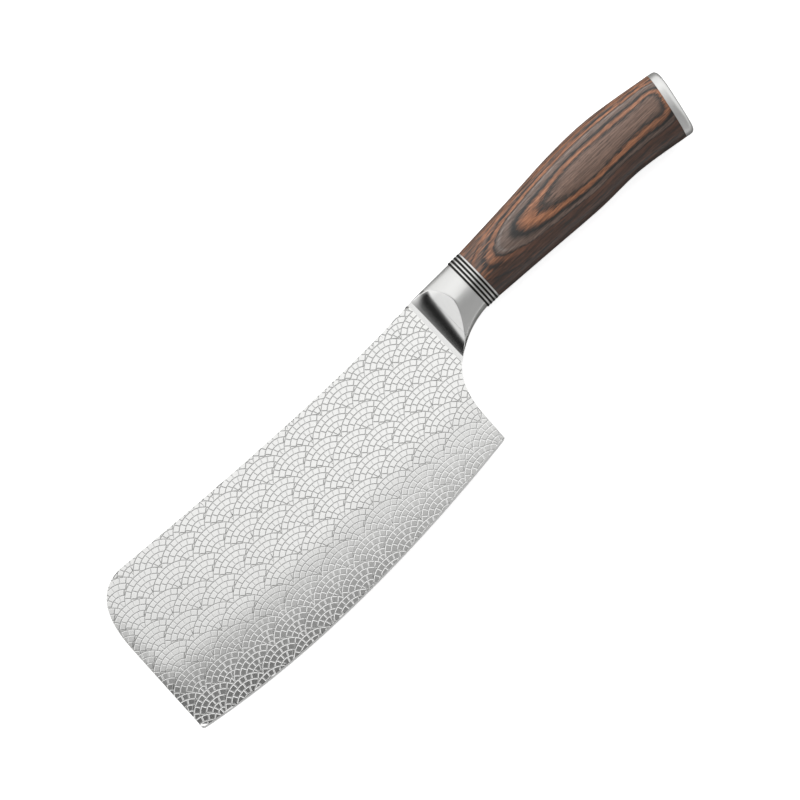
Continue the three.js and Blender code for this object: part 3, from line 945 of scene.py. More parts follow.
def add_neck(mesh, neck):
    """The whole neck, open at both ends. The hollow's faces take the second material."""
    lines = [neck.line(index) for index in range(UNDERSIDE_STEPS + SECTION_STEPS + 1)]
    far = [[(x, y, -z) for x, y, z in line] for line in reversed(lines)]
    rings = list(zip(*(lines + far)))
    skin(mesh, [add_ring(mesh, ring) for ring in rings])
    for index, face in enumerate(mesh.faces):
        face.material_index = 1 if index // len(rings[0]) < HOLLOW_STEPS - 1 else 0
    return [point[1] for point in next(zip(*lines))]


def cut_neck(mesh, x, keep_front):
    """Cuts the neck square at x and gives the edges of the cut."""
    merge_mesh(mesh)
    cut = bmesh.ops.bisect_plane(
        mesh,
        geom=mesh.verts[:] + mesh.edges[:] + mesh.faces[:],
        plane_co=Vector((x, 0, 0)) + DATUM,
        plane_no=(1, 0, 0),
        clear_outer=keep_front,
        clear_inner=not keep_front,
    )
    return [item for item in cut["geom_cut"] if isinstance(item, bmesh.types.BMEdge)]


def add_tang(mesh, tang, half, start, outer_edges):
    """The tang behind the root's shoulder, narrowing to its end."""
    stations = [
        (start, tang.height),
        (tang.taper_start, tang.height),
        (tang.taper_end, tang.tip_height),
        (tang.end, tang.tip_height),
    ]
    rings = [window_corners(mesh, x, height, 2 * half) for x, height in stations]
    skin(mesh, rings)
    mesh.faces.new(rings[-1])
    fill_around_window(mesh, outer_edges, rings[0])


def build_blade(settings, materials):
    """The blade with its paved sides, its forged root and its tang, as one piece."""
    blade, bolster = settings.blade, settings.bolster
    shape = BladeShape(blade, bolster)
    mesh = bmesh.new()
    joint_heights = add_neck(mesh, NeckShape(settings))
    shoulder = shape.hollow + bolster.root_length
    cut = cut_neck(mesh, shoulder, keep_front=True)
    add_tang(mesh, settings.tang, blade.thickness / 2, shoulder, cut)
    for face in mesh.faces:
        face.material_index = ROOT
    PavedSides(shape, settings.paving, joint_heights).add_to(mesh)
    flats = (STONE, JOINT_WALL, HONED, JOINT_FLOOR)
    make_piece("paved_blade", mesh, materials, ["blade"], flats)


def build_bolster(settings, materials):
    """The bolster, with a slot for the tang."""
    grip = settings.grip
    mesh = bmesh.new()
    add_neck(mesh, NeckShape(settings))
    front_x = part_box("bolster")[0].x - DATUM.x
    cut = cut_neck(mesh, front_x, keep_front=False)
    rear = [edge for edge in mesh.edges if edge.is_boundary and edge not in set(cut)]
    windows = [window_corners(mesh, x, grip.slot_height, grip.slot_width) for x in (front_x, 0.0)]
    skin(mesh, windows)
    fill_around_window(mesh, cut, windows[0])
    fill_around_window(mesh, rear, windows[1])
    make_piece("hollowed_bolster", mesh, materials, ["bolster"])


# Spacers, grip and cap

def neck_section(grip, inset, x):
    """The ring of the neck at the spacers."""
    half = grip.thickness[0] / 2 - inset
    low, high = inset - grip.bottom[0], grip.top[0] - inset
    return [(x, *egg_point(angle, low, high, 0.0, half, grip.neck_power)) for angle in SECTION_ANGLES]


def build_spacer(grip, name, node, material, proud=0.0):
    """One band of the neck, with a slot for the tang. It may stand proud of its neighbours."""
    low, high = (corner.x - DATUM.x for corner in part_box(node))
    small = grip.break_edge
    mesh = bmesh.new()
    rings = [
        neck_section(grip, small - proud, low),
        neck_section(grip, -proud, low + small),
        neck_section(grip, -proud, high - small),
        neck_section(grip, small - proud, high),
        window_ring(high, grip.slot_height, grip.slot_width),
        window_ring(low, grip.slot_height, grip.slot_width),
    ]
    skin(mesh, [add_ring(mesh, ring) for ring in rings], closed=True)
    make_piece(name, mesh, [material], [node])


class GripShape:
    """The grip's sections, which lean back with the butt."""

    def __init__(self, grip):
        self.grip = grip
        self.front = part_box("handle")[0].x - DATUM.x
        self.joint = (
            self.front + grip.bottom_at[-1],
            -grip.bottom[-1],
            self.front + grip.top_at[-1],
            grip.top[-1],
        )

    def joint_x(self, height):
        """Where the joint between wood and cap stands at a height."""
        low_x, low_y, high_x, high_y = self.joint
        return mix(low_x, high_x, (height - low_y) / (high_y - low_y))

    def ring(self, share, inset=0.0, shrink=1.0, offset=0.0):
        """A section drawn in all round, shrunk about its middle or moved off along its normal."""
        grip = self.grip
        top = spline_point(np.array(grip.top_at), np.array(grip.top), share)
        bottom = spline_point(np.array(grip.bottom_at), -np.array(grip.bottom), share)
        half = spline_point(np.array(grip.top_at), np.array(grip.thickness), share)[1] / 2
        along = top - bottom
        reach = np.linalg.norm(along)
        along = along / reach
        rise = smooth_step(top[0], 0, grip.top_at[1])
        ridge = reach * (grip.ridge_rise * rise - bottom[1]) / (top[1] - bottom[1])
        power = mix(grip.neck_power, grip.grip_power, rise)
        points = []
        for angle in SECTION_ANGLES:
            height, out = egg_point(angle, inset, reach - inset, ridge, half - inset, power)
            step = mix(reach / 2, height, shrink)
            x = bottom[0] + along[0] * step + along[1] * offset
            y = bottom[1] + along[1] * step - along[0] * offset
            points.append((self.front + x, y, shrink * out))
        return points


def build_grip(settings, material):
    """The grip, with a slot and bore for the tang and rod, and a counterbore for the nut."""
    grip = settings.grip
    shape = GripShape(grip)
    seat = shape.joint_x(0) - grip.counterbore_depth
    rings = [shape.ring(i / GRIP_STEPS) for i in range(GRIP_STEPS + 1)]
    rings += [
        round_ring(shape.joint_x, grip.counterbore),
        round_ring(lambda _: seat, grip.counterbore),
        round_ring(lambda _: seat, grip.bore),
        round_ring(lambda _: grip.slot_end, grip.bore),
        window_ring(grip.slot_end, grip.slot_height, grip.slot_width),
        window_ring(shape.front, grip.slot_height, grip.slot_width),
    ]
    broken = 1 - grip.break_edge / grip.top[0]
    rings[0] = [(x, y * broken, z * broken) for x, y, z in rings[0]]
    mesh = bmesh.new()
    skin(mesh, [add_ring(mesh, ring) for ring in rings], closed=True)
    make_piece("veneered_grip", mesh, [material], ["handle"])


def build_cap(settings, material):
    """The rounded cap, with a spigot that plugs the counterbore."""
    cap = settings.cap
    shape = GripShape(settings.grip)
    wall = cap.gap + cap.thickness - cap.rim_radius
    inner_end = shape.joint_x(0) - cap.spigot_length
    rings = [
        round_ring(lambda _: inner_end, cap.spigot),
        round_ring(lambda height: shape.joint_x(height) + cap.gap, cap.spigot),
        shape.ring(1, offset=cap.gap),
        shape.ring(1, offset=wall - cap.rim_radius * RIM_LEAD),
        shape.ring(1, offset=wall),
    ]
    for i in range(1, RIM_STEPS + 1):
        turn = math.pi / 2 * i / RIM_STEPS
        inset = cap.rim_radius * (1 - math.cos(turn))
        rings.append(shape.ring(1, inset=inset, offset=wall + cap.rim_radius * math.sin(turn)))
    for i in range(1, CROWN_STEPS + 1):
        shrink = 1 - i / (CROWN_STEPS + 1)
        offset = cap.gap + cap.thickness + cap.crown * (1 - shrink**2)
        rings.append(shape.ring(1, inset=cap.rim_radius, shrink=shrink, offset=offset))
    mesh = bmesh.new()
    made = [add_ring(mesh, ring) for ring in rings]
    skin(mesh, made)
    mesh.faces.new(made[0])
    mesh.faces.new(made[-1])
    make_piece("butt_cap", mesh, [material], ["end_cap"])


# Materials

# Heights, from the datum, between which the joints turn from their own tone to a painted highlight
# towards the edge
PAINTED_HIGHLIGHT_TOP = -36 * MM
PAINTED_HIGHLIGHT_BOTTOM = -46 * MM

# How often scratches change per metre along x, y and z
STONE_GRAIN = (900, 9000, 900)
EDGE_GRAIN = (9000, 900, 900)
NECK_GRAIN = (4000, 250, 4000)
ZINC_GRAIN = (2500, 2500, 2500)

# Roughness of each steel, and how much its scratches add to that
STONE_FINISH = (0.08, 0.1)
EDGE_FINISH = (0.5, 0.1)
HOLLOW_FINISH = (0.12, 0.06)
BOLSTER_FINISH = (0.28, 0.06)
SPACER_FINISH = (0.45, 0.06)
CAP_FINISH = (0.18, 0.06)
ZINC_FINISH = (0.34, 0.16)

# Marks per metre of the surfaces that aren't brushed, their roughness and its spread
JOINT_SPECKLE = (9000.0, 0.14, 0.08)
BLACK_SPECKLE = (6000.0, 0.3, 0.12)
WOOD_SPECKLE = (2500.0, 0.36, 0.12)

# The noise between dark and light, and the tones of the dark in scratches and speckle
NOISE_RANGE = (0.3, 0.7)
SCRATCH_TONE = (0.95, 0.95, 0.95, 1)
SPECKLE_TONE = 0.85

# Detail and roughness of the scratches' noise, and detail of the speckle
SCRATCH_DETAIL = (5.0, 0.62)
SPECKLE_DETAIL = 3.0

# Slow changes per metre under the scratches and under the speckle, and the first one's spread
DRIFT_SCALE = 60.0
HANDLING_SCALE = 45.0
DRIFT_SPREAD = 0.05

# Strength and height of the bumps
SCRATCH_BUMP = 0.06
NECK_BUMP = 0.03
JOINT_BUMP = 0.1
BLACK_BUMP = 0.2
WOOD_BUMP = 0.25
BUMP_HEIGHT = 0.02 * MM
WOOD_BUMP_HEIGHT = 0.05 * MM

# Specular level of the surfaces that aren't metal
BLACK_GLOSS = 0.25
WOOD_GLOSS = 0.65


def add_node(tree, kind, inputs=None, **settings):
    """A shader node with its settings and inputs. An input that is a socket is linked."""
    node = tree.nodes.new(kind)
    for name, value in settings.items():
        setattr(node, name, value)
    for key, value in (inputs or {}).items():
        if isinstance(value, bpy.types.NodeSocket):
            tree.links.new(value, node.inputs[key])
        else:
            node.inputs[key].default_value = value
    return node


def add_math(tree, operation, *values):
    inputs = dict(enumerate(values))
    return add_node(tree, "ShaderNodeMath", inputs, operation=operation).outputs[0]


def add_vector_math(tree, operation, *values):
    inputs = dict(enumerate(values))
    return add_node(tree, "ShaderNodeVectorMath", inputs, operation=operation).outputs


def add_mix(tree, factor, first, second, blend="MIX"):
    """A mix of two colours, whose sockets on the node come after those for numbers and vectors."""
    inputs = {0: factor, 6: first, 7: second}
    return add_node(tree, "ShaderNodeMix", inputs, data_type="RGBA", blend_type=blend).outputs[2]


def add_noise(tree, vector, scale, detail=2.0, roughness=0.5):
    inputs = {"Vector": vector, "Scale": scale, "Detail": detail, "Roughness": roughness}
    return add_node(tree, "ShaderNodeTexNoise", inputs).outputs["Fac"]


def add_range(tree, value, low, high, to_low=0.0, to_high=1.0, kind="SMOOTHSTEP"):
    inputs = {"Value": value, "From Min": low, "From Max": high, "To Min": to_low, "To Max": to_high}
    return add_node(tree, "ShaderNodeMapRange", inputs, interpolation_type=kind).outputs["Result"]


def add_ramp(tree, share, stops):
    """Colours by a value between 0 and 1."""
    node = add_node(tree, "ShaderNodeValToRGB", {0: share})
    elements = node.color_ramp.elements
    while len(elements) < len(stops):
        elements.new(1.0)
    for element, (place, tone) in zip(elements, stops):
        element.position = place
        element.color = tone
    return node.outputs["Color"]


def object_place(tree):
    """Where a point lies on its piece, in metres."""
    return add_node(tree, "ShaderNodeTexCoord").outputs["Object"]


def axes_of(tree, vector):
    """The x, y and z of a vector."""
    return add_node(tree, "ShaderNodeSeparateXYZ", {0: vector}).outputs


def link_sockets(tree, sockets, sources):
    """Links sources to sockets by name."""
    for name, source in sources.items():
        tree.links.new(source, sockets[name])


def solid(values):
    """A colour with nothing showing through it."""
    return (*values, 1.0)


def new_group(name, inputs, outputs):
    """A shader node group with named sockets, as (tree, given sockets, result sockets)."""
    tree = bpy.data.node_groups.new(name, "ShaderNodeTree")
    for in_out, sockets in (("INPUT", inputs), ("OUTPUT", outputs)):
        for socket, kind in sockets.items():
            tree.interface.new_socket(socket, in_out=in_out, socket_type=f"NodeSocket{kind}")
    given, result = tree.nodes.new("NodeGroupInput"), tree.nodes.new("NodeGroupOutput")
    return tree, given.outputs, result.inputs


def make_brushed_group(name):
    """Fine parallel scratches with a slow drift under them, for the brushed steels."""
    tree, given, result = new_group(
        name,
        {"Colour": "Color", "Grain": "Vector", "Roughness": "Float", "Depth": "Float"},
        {"Colour": "Color", "Roughness": "Float", "Height": "Float"},
    )
    place = object_place(tree)
    stretched = add_vector_math(tree, "MULTIPLY", place, given["Grain"])[0]
    scratches = add_noise(tree, stretched, 1.0, *SCRATCH_DETAIL)
    dark = add_mix(tree, 1.0, given["Colour"], SCRATCH_TONE, "MULTIPLY")
    tone = add_mix(tree, add_range(tree, scratches, *NOISE_RANGE), dark, given["Colour"])
    spread = add_math(tree, "MULTIPLY_ADD", scratches, given["Depth"], given["Roughness"])
    drift = add_noise(tree, place, DRIFT_SCALE)
    slow = add_math(tree, "MULTIPLY_ADD", drift, DRIFT_SPREAD, -DRIFT_SPREAD / 2)
    rough = add_math(tree, "ADD", spread, slow)
    link_sockets(tree, result, {"Colour": tone, "Roughness": rough, "Height": scratches})
    return tree


def make_speckle_group(name):
    """Small pits and handling marks, for the surfaces that aren't brushed."""
    tree, given, result = new_group(
        name,
        {"Size": "Float", "Roughness": "Float", "Spread": "Float"},
        {"Roughness": "Float", "Height": "Float", "Tone": "Float"},
    )
    place = object_place(tree)
    fine = add_noise(tree, place, given["Size"], SPECKLE_DETAIL)
    uneven = add_math(tree, "SUBTRACT", add_noise(tree, place, HANDLING_SCALE), 0.5)
    rough = add_math(tree, "MULTIPLY_ADD", uneven, given["Spread"], given["Roughness"])
    tone = add_range(tree, fine, *NOISE_RANGE, SPECKLE_TONE, 1.0)
    link_sockets(tree, result, {"Roughness": rough, "Height": fine, "Tone": tone})
    return tree


def make_painted_highlight_group(name):
    """The joints' own tone towards the spine, which turns into a lighter one towards the edge: a painted
    highlight.
    """
    tree, given, result = new_group(name, {"Unpainted": "Color", "Highlit": "Color"}, {"Colour": "Color"})
    height = axes_of(tree, object_place(tree))["Y"]
    # Painted highlight: between these heights the joints lighten towards the edge
    painted_highlight = add_range(tree, height, DATUM.y + PAINTED_HIGHLIGHT_TOP, DATUM.y + PAINTED_HIGHLIGHT_BOTTOM)
    link_sockets(tree, result, {"Colour": add_mix(tree, painted_highlight, given["Unpainted"], given["Highlit"])})
    return tree


def add_group(tree, name, maker, inputs):
    """A use of a shared node group, which is made when it is first needed."""
    group = bpy.data.node_groups.get(name) or maker(name)
    return add_node(tree, "ShaderNodeGroup", inputs, node_tree=group).outputs


def add_speckle(tree, speckle):
    """A use of the speckle group."""
    inputs = dict(zip(("Size", "Roughness", "Spread"), speckle))
    return add_group(tree, "Fine speckle", make_speckle_group, inputs)


def new_material(name):
    """A material with one shader, as (material, tree, the shader's sockets)."""
    material = bpy.data.materials.new(name)
    material.use_nodes = True
    shader = material.node_tree.nodes["Principled BSDF"]
    return material, material.node_tree, shader.inputs


def link_surface(tree, shader, tone, roughness, height, bump, bump_height=BUMP_HEIGHT):
    """Gives a shader its colour, roughness and bumps."""
    inputs = {"Height": height, "Distance": bump_height, "Strength": bump}
    normal = add_node(tree, "ShaderNodeBump", inputs).outputs["Normal"]
    link_sockets(tree, shader, {"Base Color": tone, "Roughness": roughness, "Normal": normal})


def make_steel(name, tone, grain, finish, bump=SCRATCH_BUMP):
    """A metal with scratches along one direction, made once for all the pieces that share it."""
    made = bpy.data.materials.get(name)
    if made:
        return made
    material, tree, shader = new_material(name)
    inputs = {"Colour": solid(tone), "Grain": grain, "Roughness": finish[0], "Depth": finish[1]}
    brushed = add_group(tree, "Brushed steel", make_brushed_group, inputs)
    shader["Metallic"].default_value = 1.0
    link_surface(tree, shader, brushed["Colour"], brushed["Roughness"], brushed["Height"], bump)
    return material


def make_neck_steel(name, tone, finish):
    """Bright steel brushed round the neck."""
    return make_steel(name, tone, NECK_GRAIN, finish, NECK_BUMP)


def make_hollow_steel(finishes):
    """The polished hollow, which the blade's root and the bolster share."""
    return make_neck_steel("hollow_steel", finishes.bright_steel, HOLLOW_FINISH)


def make_joint_steel(name, unpainted, highlit):
    """The speckled steel of the joints, with a painted highlight that makes it brighter towards the edge.
    """
    material, tree, shader = new_material(name)
    speckle = add_speckle(tree, JOINT_SPECKLE)
    tones = {"Unpainted": solid(unpainted), "Highlit": solid(highlit)}
    tone = add_group(tree, "Joint wear", make_painted_highlight_group, tones)["Colour"]
    shaded = add_mix(tree, 1.0, tone, speckle["Tone"], "MULTIPLY")
    shader["Metallic"].default_value = 1.0
    link_surface(tree, shader, shaded, speckle["Roughness"], speckle["Height"], JOINT_BUMP)
    return material


def make_black(tone):
    """Buffed black fibre."""
    material, tree, shader = new_material("black_fibre")
    speckle = add_speckle(tree, BLACK_SPECKLE)
    shaded = add_mix(tree, 1.0, solid(tone), speckle["Tone"], "MULTIPLY")
    shader["Specular IOR Level"].default_value = BLACK_GLOSS
    link_surface(tree, shader, shaded, speckle["Roughness"], speckle["Height"], BLACK_BUMP)
    return material


# Wood

# The veneers of one half of the grip, from its widest line inwards: the tone above the widest line,
# the tone below it, and the depth of the veneer's far side in millimetres
# Below the widest line the deeper veneers take darkened copies of their tones: painted shade of the
# underside
VENEERS = (
    ("brown", "brown", 0.40),
    ("charcoal", "charcoal", 0.52),
    ("orange", "orange", 0.98),
    ("charcoal", "charcoal", 1.45),
    ("taupe", "taupe", 2.18),
    ("pale", "taupe", 2.32),
    ("taupe", "taupe", 2.55),
    ("charcoal", "charcoal", 2.75),
    ("orange", "shaded_orange", 3.55),
    ("charcoal", "shaded_brown", 4.25),
    ("brown", "shaded_brown", 5.1),
    ("orange", "shaded_orange", 5.6),
    ("charcoal", "charcoal", 5.95),
    ("tan", "shaded_brown", 7.4),
    ("brown", "shaded_brown", 9.2),
)
# The soft border inside a veneer: its widest in millimetres, and its largest share of the veneer
WIDEST_BORDER = 0.16
BORDER_SHARE = 0.4
# Bends of the veneers at the neck, over the butt and at its end: start, end and depth in millimetres
BENDS = ((33.0, 6.3, 2.6), (75.0, 108.0, -0.65), (100.0, 108.0, 1.3))
# Noise of the wood: changes per millimetre along the grip and across it, detail and roughness
SLOW_WAVE = (0.035, 0.12, 2.0, 0.5)
FAST_WAVE = (0.3, 1.2, 3.0, 0.5)
FINE_WAVE = (0.3, 4.0, 3.0, 0.5)
FIBRE = (0.25, 6.0, 3.0, 0.6)
STREAKS = (0.05, 1.7, 2.0, 0.5)
PORES = (0.22, 3.6, 2.0, 0.5)
STRANDS = (0.08, 1.3, 4.0, 0.65)
# How far in millimetres each wave moves the veneers
WAVES = ((SLOW_WAVE, 0.6), (FAST_WAVE, 0.2), (FINE_WAVE, 0.55))
# Heights between which the upper veneers give way to the lower ones, whose darker tones are painted
# shade, in millimetres
LOWER_HALF = (1.0, -6.0)
# How much thinner the lower veneers are between two depths, in millimetres
LOWER_SHIFT = 0.7
LOWER_SHIFT_DEPTHS = (1.5, 2.1)
# Painted shade: how dark the underside is, with what the butt adds, and how dark the neck is
UNDERSIDE_PAINTED_SHADE = 0.14
BUTT_PAINTED_SHADE = 0.25
NECK_PAINTED_SHADE = 0.4
# The depths over which strands set in, and the noise and strength of the warm and the dark ones
FLANK_DEPTHS = (2.4, 3.6)
WARM_STRANDS = (0.5, 0.38, 0.0, 0.7)
DARK_STRANDS = (0.5, 0.62, 0.0, 0.8)
# The share of fibre among the streaks, the noise between dim and light, and the two tones
FIBRE_SHARE = 0.4
FIBRE_RANGE = (0.32, 0.68)
DIM_FIBRE = (0.6, 0.58, 0.56, 1)
LIGHT_FIBRE = (1.45, 1.45, 1.45, 1)
# The noise in which pores open, how dark and rough they are, and how deep they go
PORE_RANGE = (0.56, 0.7)
PORE_SHADE = 0.7
PORE_ROUGHNESS = 0.2
PORE_DEPTH = -0.6


def add_grain(tree, place, along, across, detail, roughness):
    """Noise that runs along the grip."""
    stretched = add_vector_math(tree, "MULTIPLY", place, (along, across, across))[0]
    return add_noise(tree, stretched, 1.0, detail, roughness)


def add_veneer_depth(tree, place, bends, widest, below):
    """How deep the wood lies under the grip's widest line, in millimetres, bent and waved."""
    depth = add_math(tree, "ABSOLUTE", axes_of(tree, place)["Z"])
    depth = add_math(tree, "SUBTRACT", widest / MM, depth)
    for share, (_, _, bend) in zip(bends, BENDS):
        depth = add_math(tree, "MULTIPLY_ADD", add_math(tree, "POWER", share, 2.0), bend, depth)
    for wave, reach in WAVES:
        swing = add_math(tree, "SUBTRACT", add_grain(tree, place, *wave), 0.5)
        depth = add_math(tree, "MULTIPLY_ADD", swing, reach, depth)
    shifted = add_math(tree, "MULTIPLY", add_range(tree, depth, *LOWER_SHIFT_DEPTHS), below)
    return add_math(tree, "MULTIPLY_ADD", shifted, LOWER_SHIFT, depth)


def add_veneer_ramp(tree, depth, finishes, side):
    """Bands of colour with softly dyed borders, by depth in millimetres."""
    total = VENEERS[-1][2]
    start = 0.0
    stops = []
    for veneer in VENEERS:
        tone, end = solid(getattr(finishes, veneer[side])), veneer[2]
        blur = min(WIDEST_BORDER, BORDER_SHARE * (end - start))
        stops += [((start + blur) / total, tone), ((end - blur) / total, tone)]
        start = end
    return add_ramp(tree, add_math(tree, "DIVIDE", depth, total), stops)


def add_strands(tree, place, tone, depth, finishes, below):
    """Warm and dark strands that break up the deeper veneers."""
    flank = add_range(tree, depth, *FLANK_DEPTHS)
    strands = add_grain(tree, place, *STRANDS)
    # Below the widest line the warm strands take the darkened orange: painted shade
    warm = add_mix(tree, below, solid(finishes.orange), solid(finishes.shaded_orange))
    dark = solid(finishes.charcoal)
    for limits, dye in ((WARM_STRANDS, warm), (DARK_STRANDS, dark)):
        mask = add_math(tree, "MULTIPLY", flank, add_range(tree, strands, *limits))
        tone = add_mix(tree, mask, tone, dye)
    return tone


def add_fibres(tree, place, fibre, tone):
    """Light and dim fibres in the tone of each veneer."""
    streaks = add_math(tree, "MULTIPLY", add_grain(tree, place, *STREAKS), 1 - FIBRE_SHARE)
    both = add_math(tree, "MULTIPLY_ADD", fibre, FIBRE_SHARE, streaks)
    light = add_mix(tree, 1.0, tone, LIGHT_FIBRE, "MULTIPLY")
    dim = add_mix(tree, 1.0, tone, DIM_FIBRE, "MULTIPLY")
    return add_mix(tree, add_range(tree, both, *FIBRE_RANGE), dim, light)


def make_wood(finishes, widest):
    """Dyed veneers pressed together along the blade's plane, cut through by the grip's curves."""
    material, tree, shader = new_material("dyed_veneers")
    move = tuple(-value / MM for value in DATUM)
    place = add_vector_math(tree, "MULTIPLY_ADD", object_place(tree), (1 / MM,) * 3, move)[0]
    axes = axes_of(tree, place)
    below = add_range(tree, axes["Y"], *LOWER_HALF)
    bends = [add_range(tree, axes["X"], start, end, kind="LINEAR") for start, end, _ in BENDS]
    depth = add_veneer_depth(tree, place, bends, widest, below)
    upper, lower = (add_veneer_ramp(tree, depth, finishes, side) for side in (0, 1))
    # Painted shade: the lower half takes the darkened veneer tones
    tone = add_mix(tree, below, upper, lower)
    # Painted shade: the underside, darker still towards the butt, and the neck are mixed towards black
    under = add_math(tree, "MULTIPLY_ADD", bends[1], BUTT_PAINTED_SHADE, UNDERSIDE_PAINTED_SHADE)
    neck = add_math(tree, "MULTIPLY", bends[0], NECK_PAINTED_SHADE)
    painted_shade = add_math(tree, "MAXIMUM", add_math(tree, "MULTIPLY", below, under), neck)
    tone = add_mix(tree, painted_shade, tone, (0, 0, 0, 1))
    tone = add_strands(tree, place, tone, depth, finishes, below)
    fibre = add_grain(tree, place, *FIBRE)
    tone = add_fibres(tree, place, fibre, tone)
    pores = add_range(tree, add_grain(tree, place, *PORES), *PORE_RANGE)
    tone = add_mix(tree, add_math(tree, "MULTIPLY", pores, PORE_SHADE), tone, solid(finishes.charcoal))
    rough = add_speckle(tree, WOOD_SPECKLE)["Roughness"]
    rough = add_math(tree, "MULTIPLY_ADD", pores, PORE_ROUGHNESS, rough)
    grooves = add_math(tree, "MULTIPLY_ADD", pores, PORE_DEPTH, fibre)
    shader["Specular IOR Level"].default_value = WOOD_GLOSS
    link_surface(tree, shader, tone, rough, grooves, WOOD_BUMP, WOOD_BUMP_HEIGHT)
    return material


# Stage

# Brightness of the dome by how far a direction leans towards the lit side, from -1 to 1
DOME = (
    (-1.0, 0.5),
    (-0.62, 0.5),
    (-0.5, 0.36),
    (-0.4, 0.24),
    (-0.3, 0.12),
    (-0.2, 0.07),
    (-0.15, 0.07),
    (-0.125, 0.2),
    (-0.105, 0.4),
    (-0.085, 0.56),
    (-0.065, 0.77),
    (-0.045, 0.99),
    (-0.025, 1.07),
    (0.005, 0.99),
    (0.03, 0.99),
    (0.12, 1.2),
)
LIT_SIDE = (0.65, 0.76, 0.0)
# Brightness that a dark card before the knife's front leaves of the dome, by direction along x
CARD = (
    (-0.88, 1.0),
    (-0.75, 0.35),
    (-0.62, 0.08),
    (-0.46, 0.1),
    (-0.36, 0.45),
    (-0.22, 1.0),
)
# The card's soft ends, by how far a direction leans across the knife
CARD_ENDS = (0.5, 0.25)
# The horizon's band by height, its two tones, and the turn from one to the other
HORIZON_BAND = (0.66, 0.45)
HORIZON_LIGHT = (1.05, 1.05, 1.05, 1)
HORIZON_DARK = (0.36, 0.36, 0.36, 1)
DARK_HORIZON_SIDE = (-0.27, -0.963, 0.0)
HORIZON_TURN = (-0.2, 0.8)
# The floor: its parts, roughness and glow for the camera, what metal mirrors of it near by (dark, as
# painted shade of the floor round the knife) and far away, and the slant between the two
FLOOR_PARTS = 8
FLOOR_ROUGHNESS = 0.9
FLOOR_GLOW = 0.7
FLOOR_SHADE_IN_METAL = (0.12, 0.12, 0.115, 1)
FLOOR_GLOW_IN_METAL = 1.05
FLOOR_SLANT = (0.6, 0.95)


def add_level_ramp(tree, value, levels):
    """Grey levels by a value between -1 and 1."""
    share = add_range(tree, value, -1.0, 1.0, kind="LINEAR")
    return add_ramp(tree, share, [((place + 1) / 2, solid((level,) * 3)) for place, level in levels])


def add_dot(tree, first, second):
    return add_vector_math(tree, "DOT_PRODUCT", first, second)["Value"]


def build_world(scene):
    """A soft studio dome: bright overhead and on the spine's side, a dark band across from it."""
    world = bpy.data.worlds.new("studio")
    world.use_nodes = True
    scene.world = world
    tree = world.node_tree
    direction = add_node(tree, "ShaderNodeTexCoord").outputs["Generated"]
    axes = axes_of(tree, direction)
    dome = add_level_ramp(tree, add_dot(tree, direction, LIT_SIDE), DOME)
    card = add_level_ramp(tree, axes["X"], CARD)
    across = add_range(tree, add_math(tree, "ABSOLUTE", axes["Y"]), *CARD_ENDS)
    carded = add_mix(tree, across, dome, card, "MULTIPLY")
    flat = add_vector_math(tree, "MULTIPLY", direction, (1, 1, 0))[0]
    compass = add_vector_math(tree, "NORMALIZE", flat)[0]
    turn = add_range(tree, add_dot(tree, compass, DARK_HORIZON_SIDE), *HORIZON_TURN)
    low = add_mix(tree, turn, HORIZON_LIGHT, HORIZON_DARK)
    light = add_mix(tree, add_range(tree, axes["Z"], *HORIZON_BAND), carded, low)
    tree.links.new(light, tree.nodes["Background"].inputs["Color"])


def make_floor_material(tone):
    """White to the camera. In mirrored metal it is painted dark near by, as painted shade round the
    knife, and bright far away.
    """
    material, tree, shader = new_material("pale_floor")
    path = add_node(tree, "ShaderNodeLightPath").outputs
    mirrored = add_math(tree, "MAXIMUM", path["Is Glossy Ray"], path["Is Transmission Ray"])
    # Painted shade: metal mirrors the floor dark, as if the knife's shadow lay on it near by
    seen = add_mix(tree, mirrored, solid(tone), FLOOR_SHADE_IN_METAL)
    slanting = add_node(tree, "ShaderNodeLayerWeight").outputs["Facing"]
    far = add_range(tree, slanting, *FLOOR_SLANT, 0.0, FLOOR_GLOW_IN_METAL)
    glow = add_math(tree, "MULTIPLY", mirrored, far)
    glow = add_math(tree, "MULTIPLY_ADD", path["Is Camera Ray"], FLOOR_GLOW, glow)
    shader["Roughness"].default_value = FLOOR_ROUGHNESS
    shader["Emission Color"].default_value = (1, 1, 1, 1)
    link_sockets(tree, shader, {"Base Color": seen, "Emission Strength": glow})
    return material


def build_floor(stage, tone):
    """A pale floor that grip, neck and blade rest on. It shows white and keeps the shadow."""
    normal = Vector(stage.floor_lean).normalized()
    corners = [vertex.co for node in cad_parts.values() for vertex in node.data.vertices]
    lowest = min(normal.dot(corner) for corner in corners)
    mesh = bmesh.new()
    bmesh.ops.create_grid(
        mesh, x_segments=FLOOR_PARTS, y_segments=FLOOR_PARTS, size=stage.floor_size / 2
    )
    data = bpy.data.meshes.new("studio_floor")
    mesh.to_mesh(data)
    mesh.free()
    data.materials.append(make_floor_material(tone))
    floor = add_object("studio_floor", data)
    floor.rotation_euler = normal.to_track_quat("Z", "Y").to_euler()
    floor.location = normal * lowest
    floor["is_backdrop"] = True


def build_lamp(stage):
    """A soft lamp on the spine's side, which metal doesn't mirror."""
    lamp = bpy.data.lights.new("soft_lamp", "AREA")
    lamp.shape = "RECTANGLE"
    lamp.size, lamp.size_y = stage.lamp_size
    lamp.energy = stage.lamp_power
    holder = add_object("soft_lamp", lamp)
    holder.location = DATUM + Vector(stage.lamp_at)
    holder.rotation_euler = (DATUM - holder.location).to_track_quat("-Z", "Y").to_euler()
    holder.visible_glossy = False


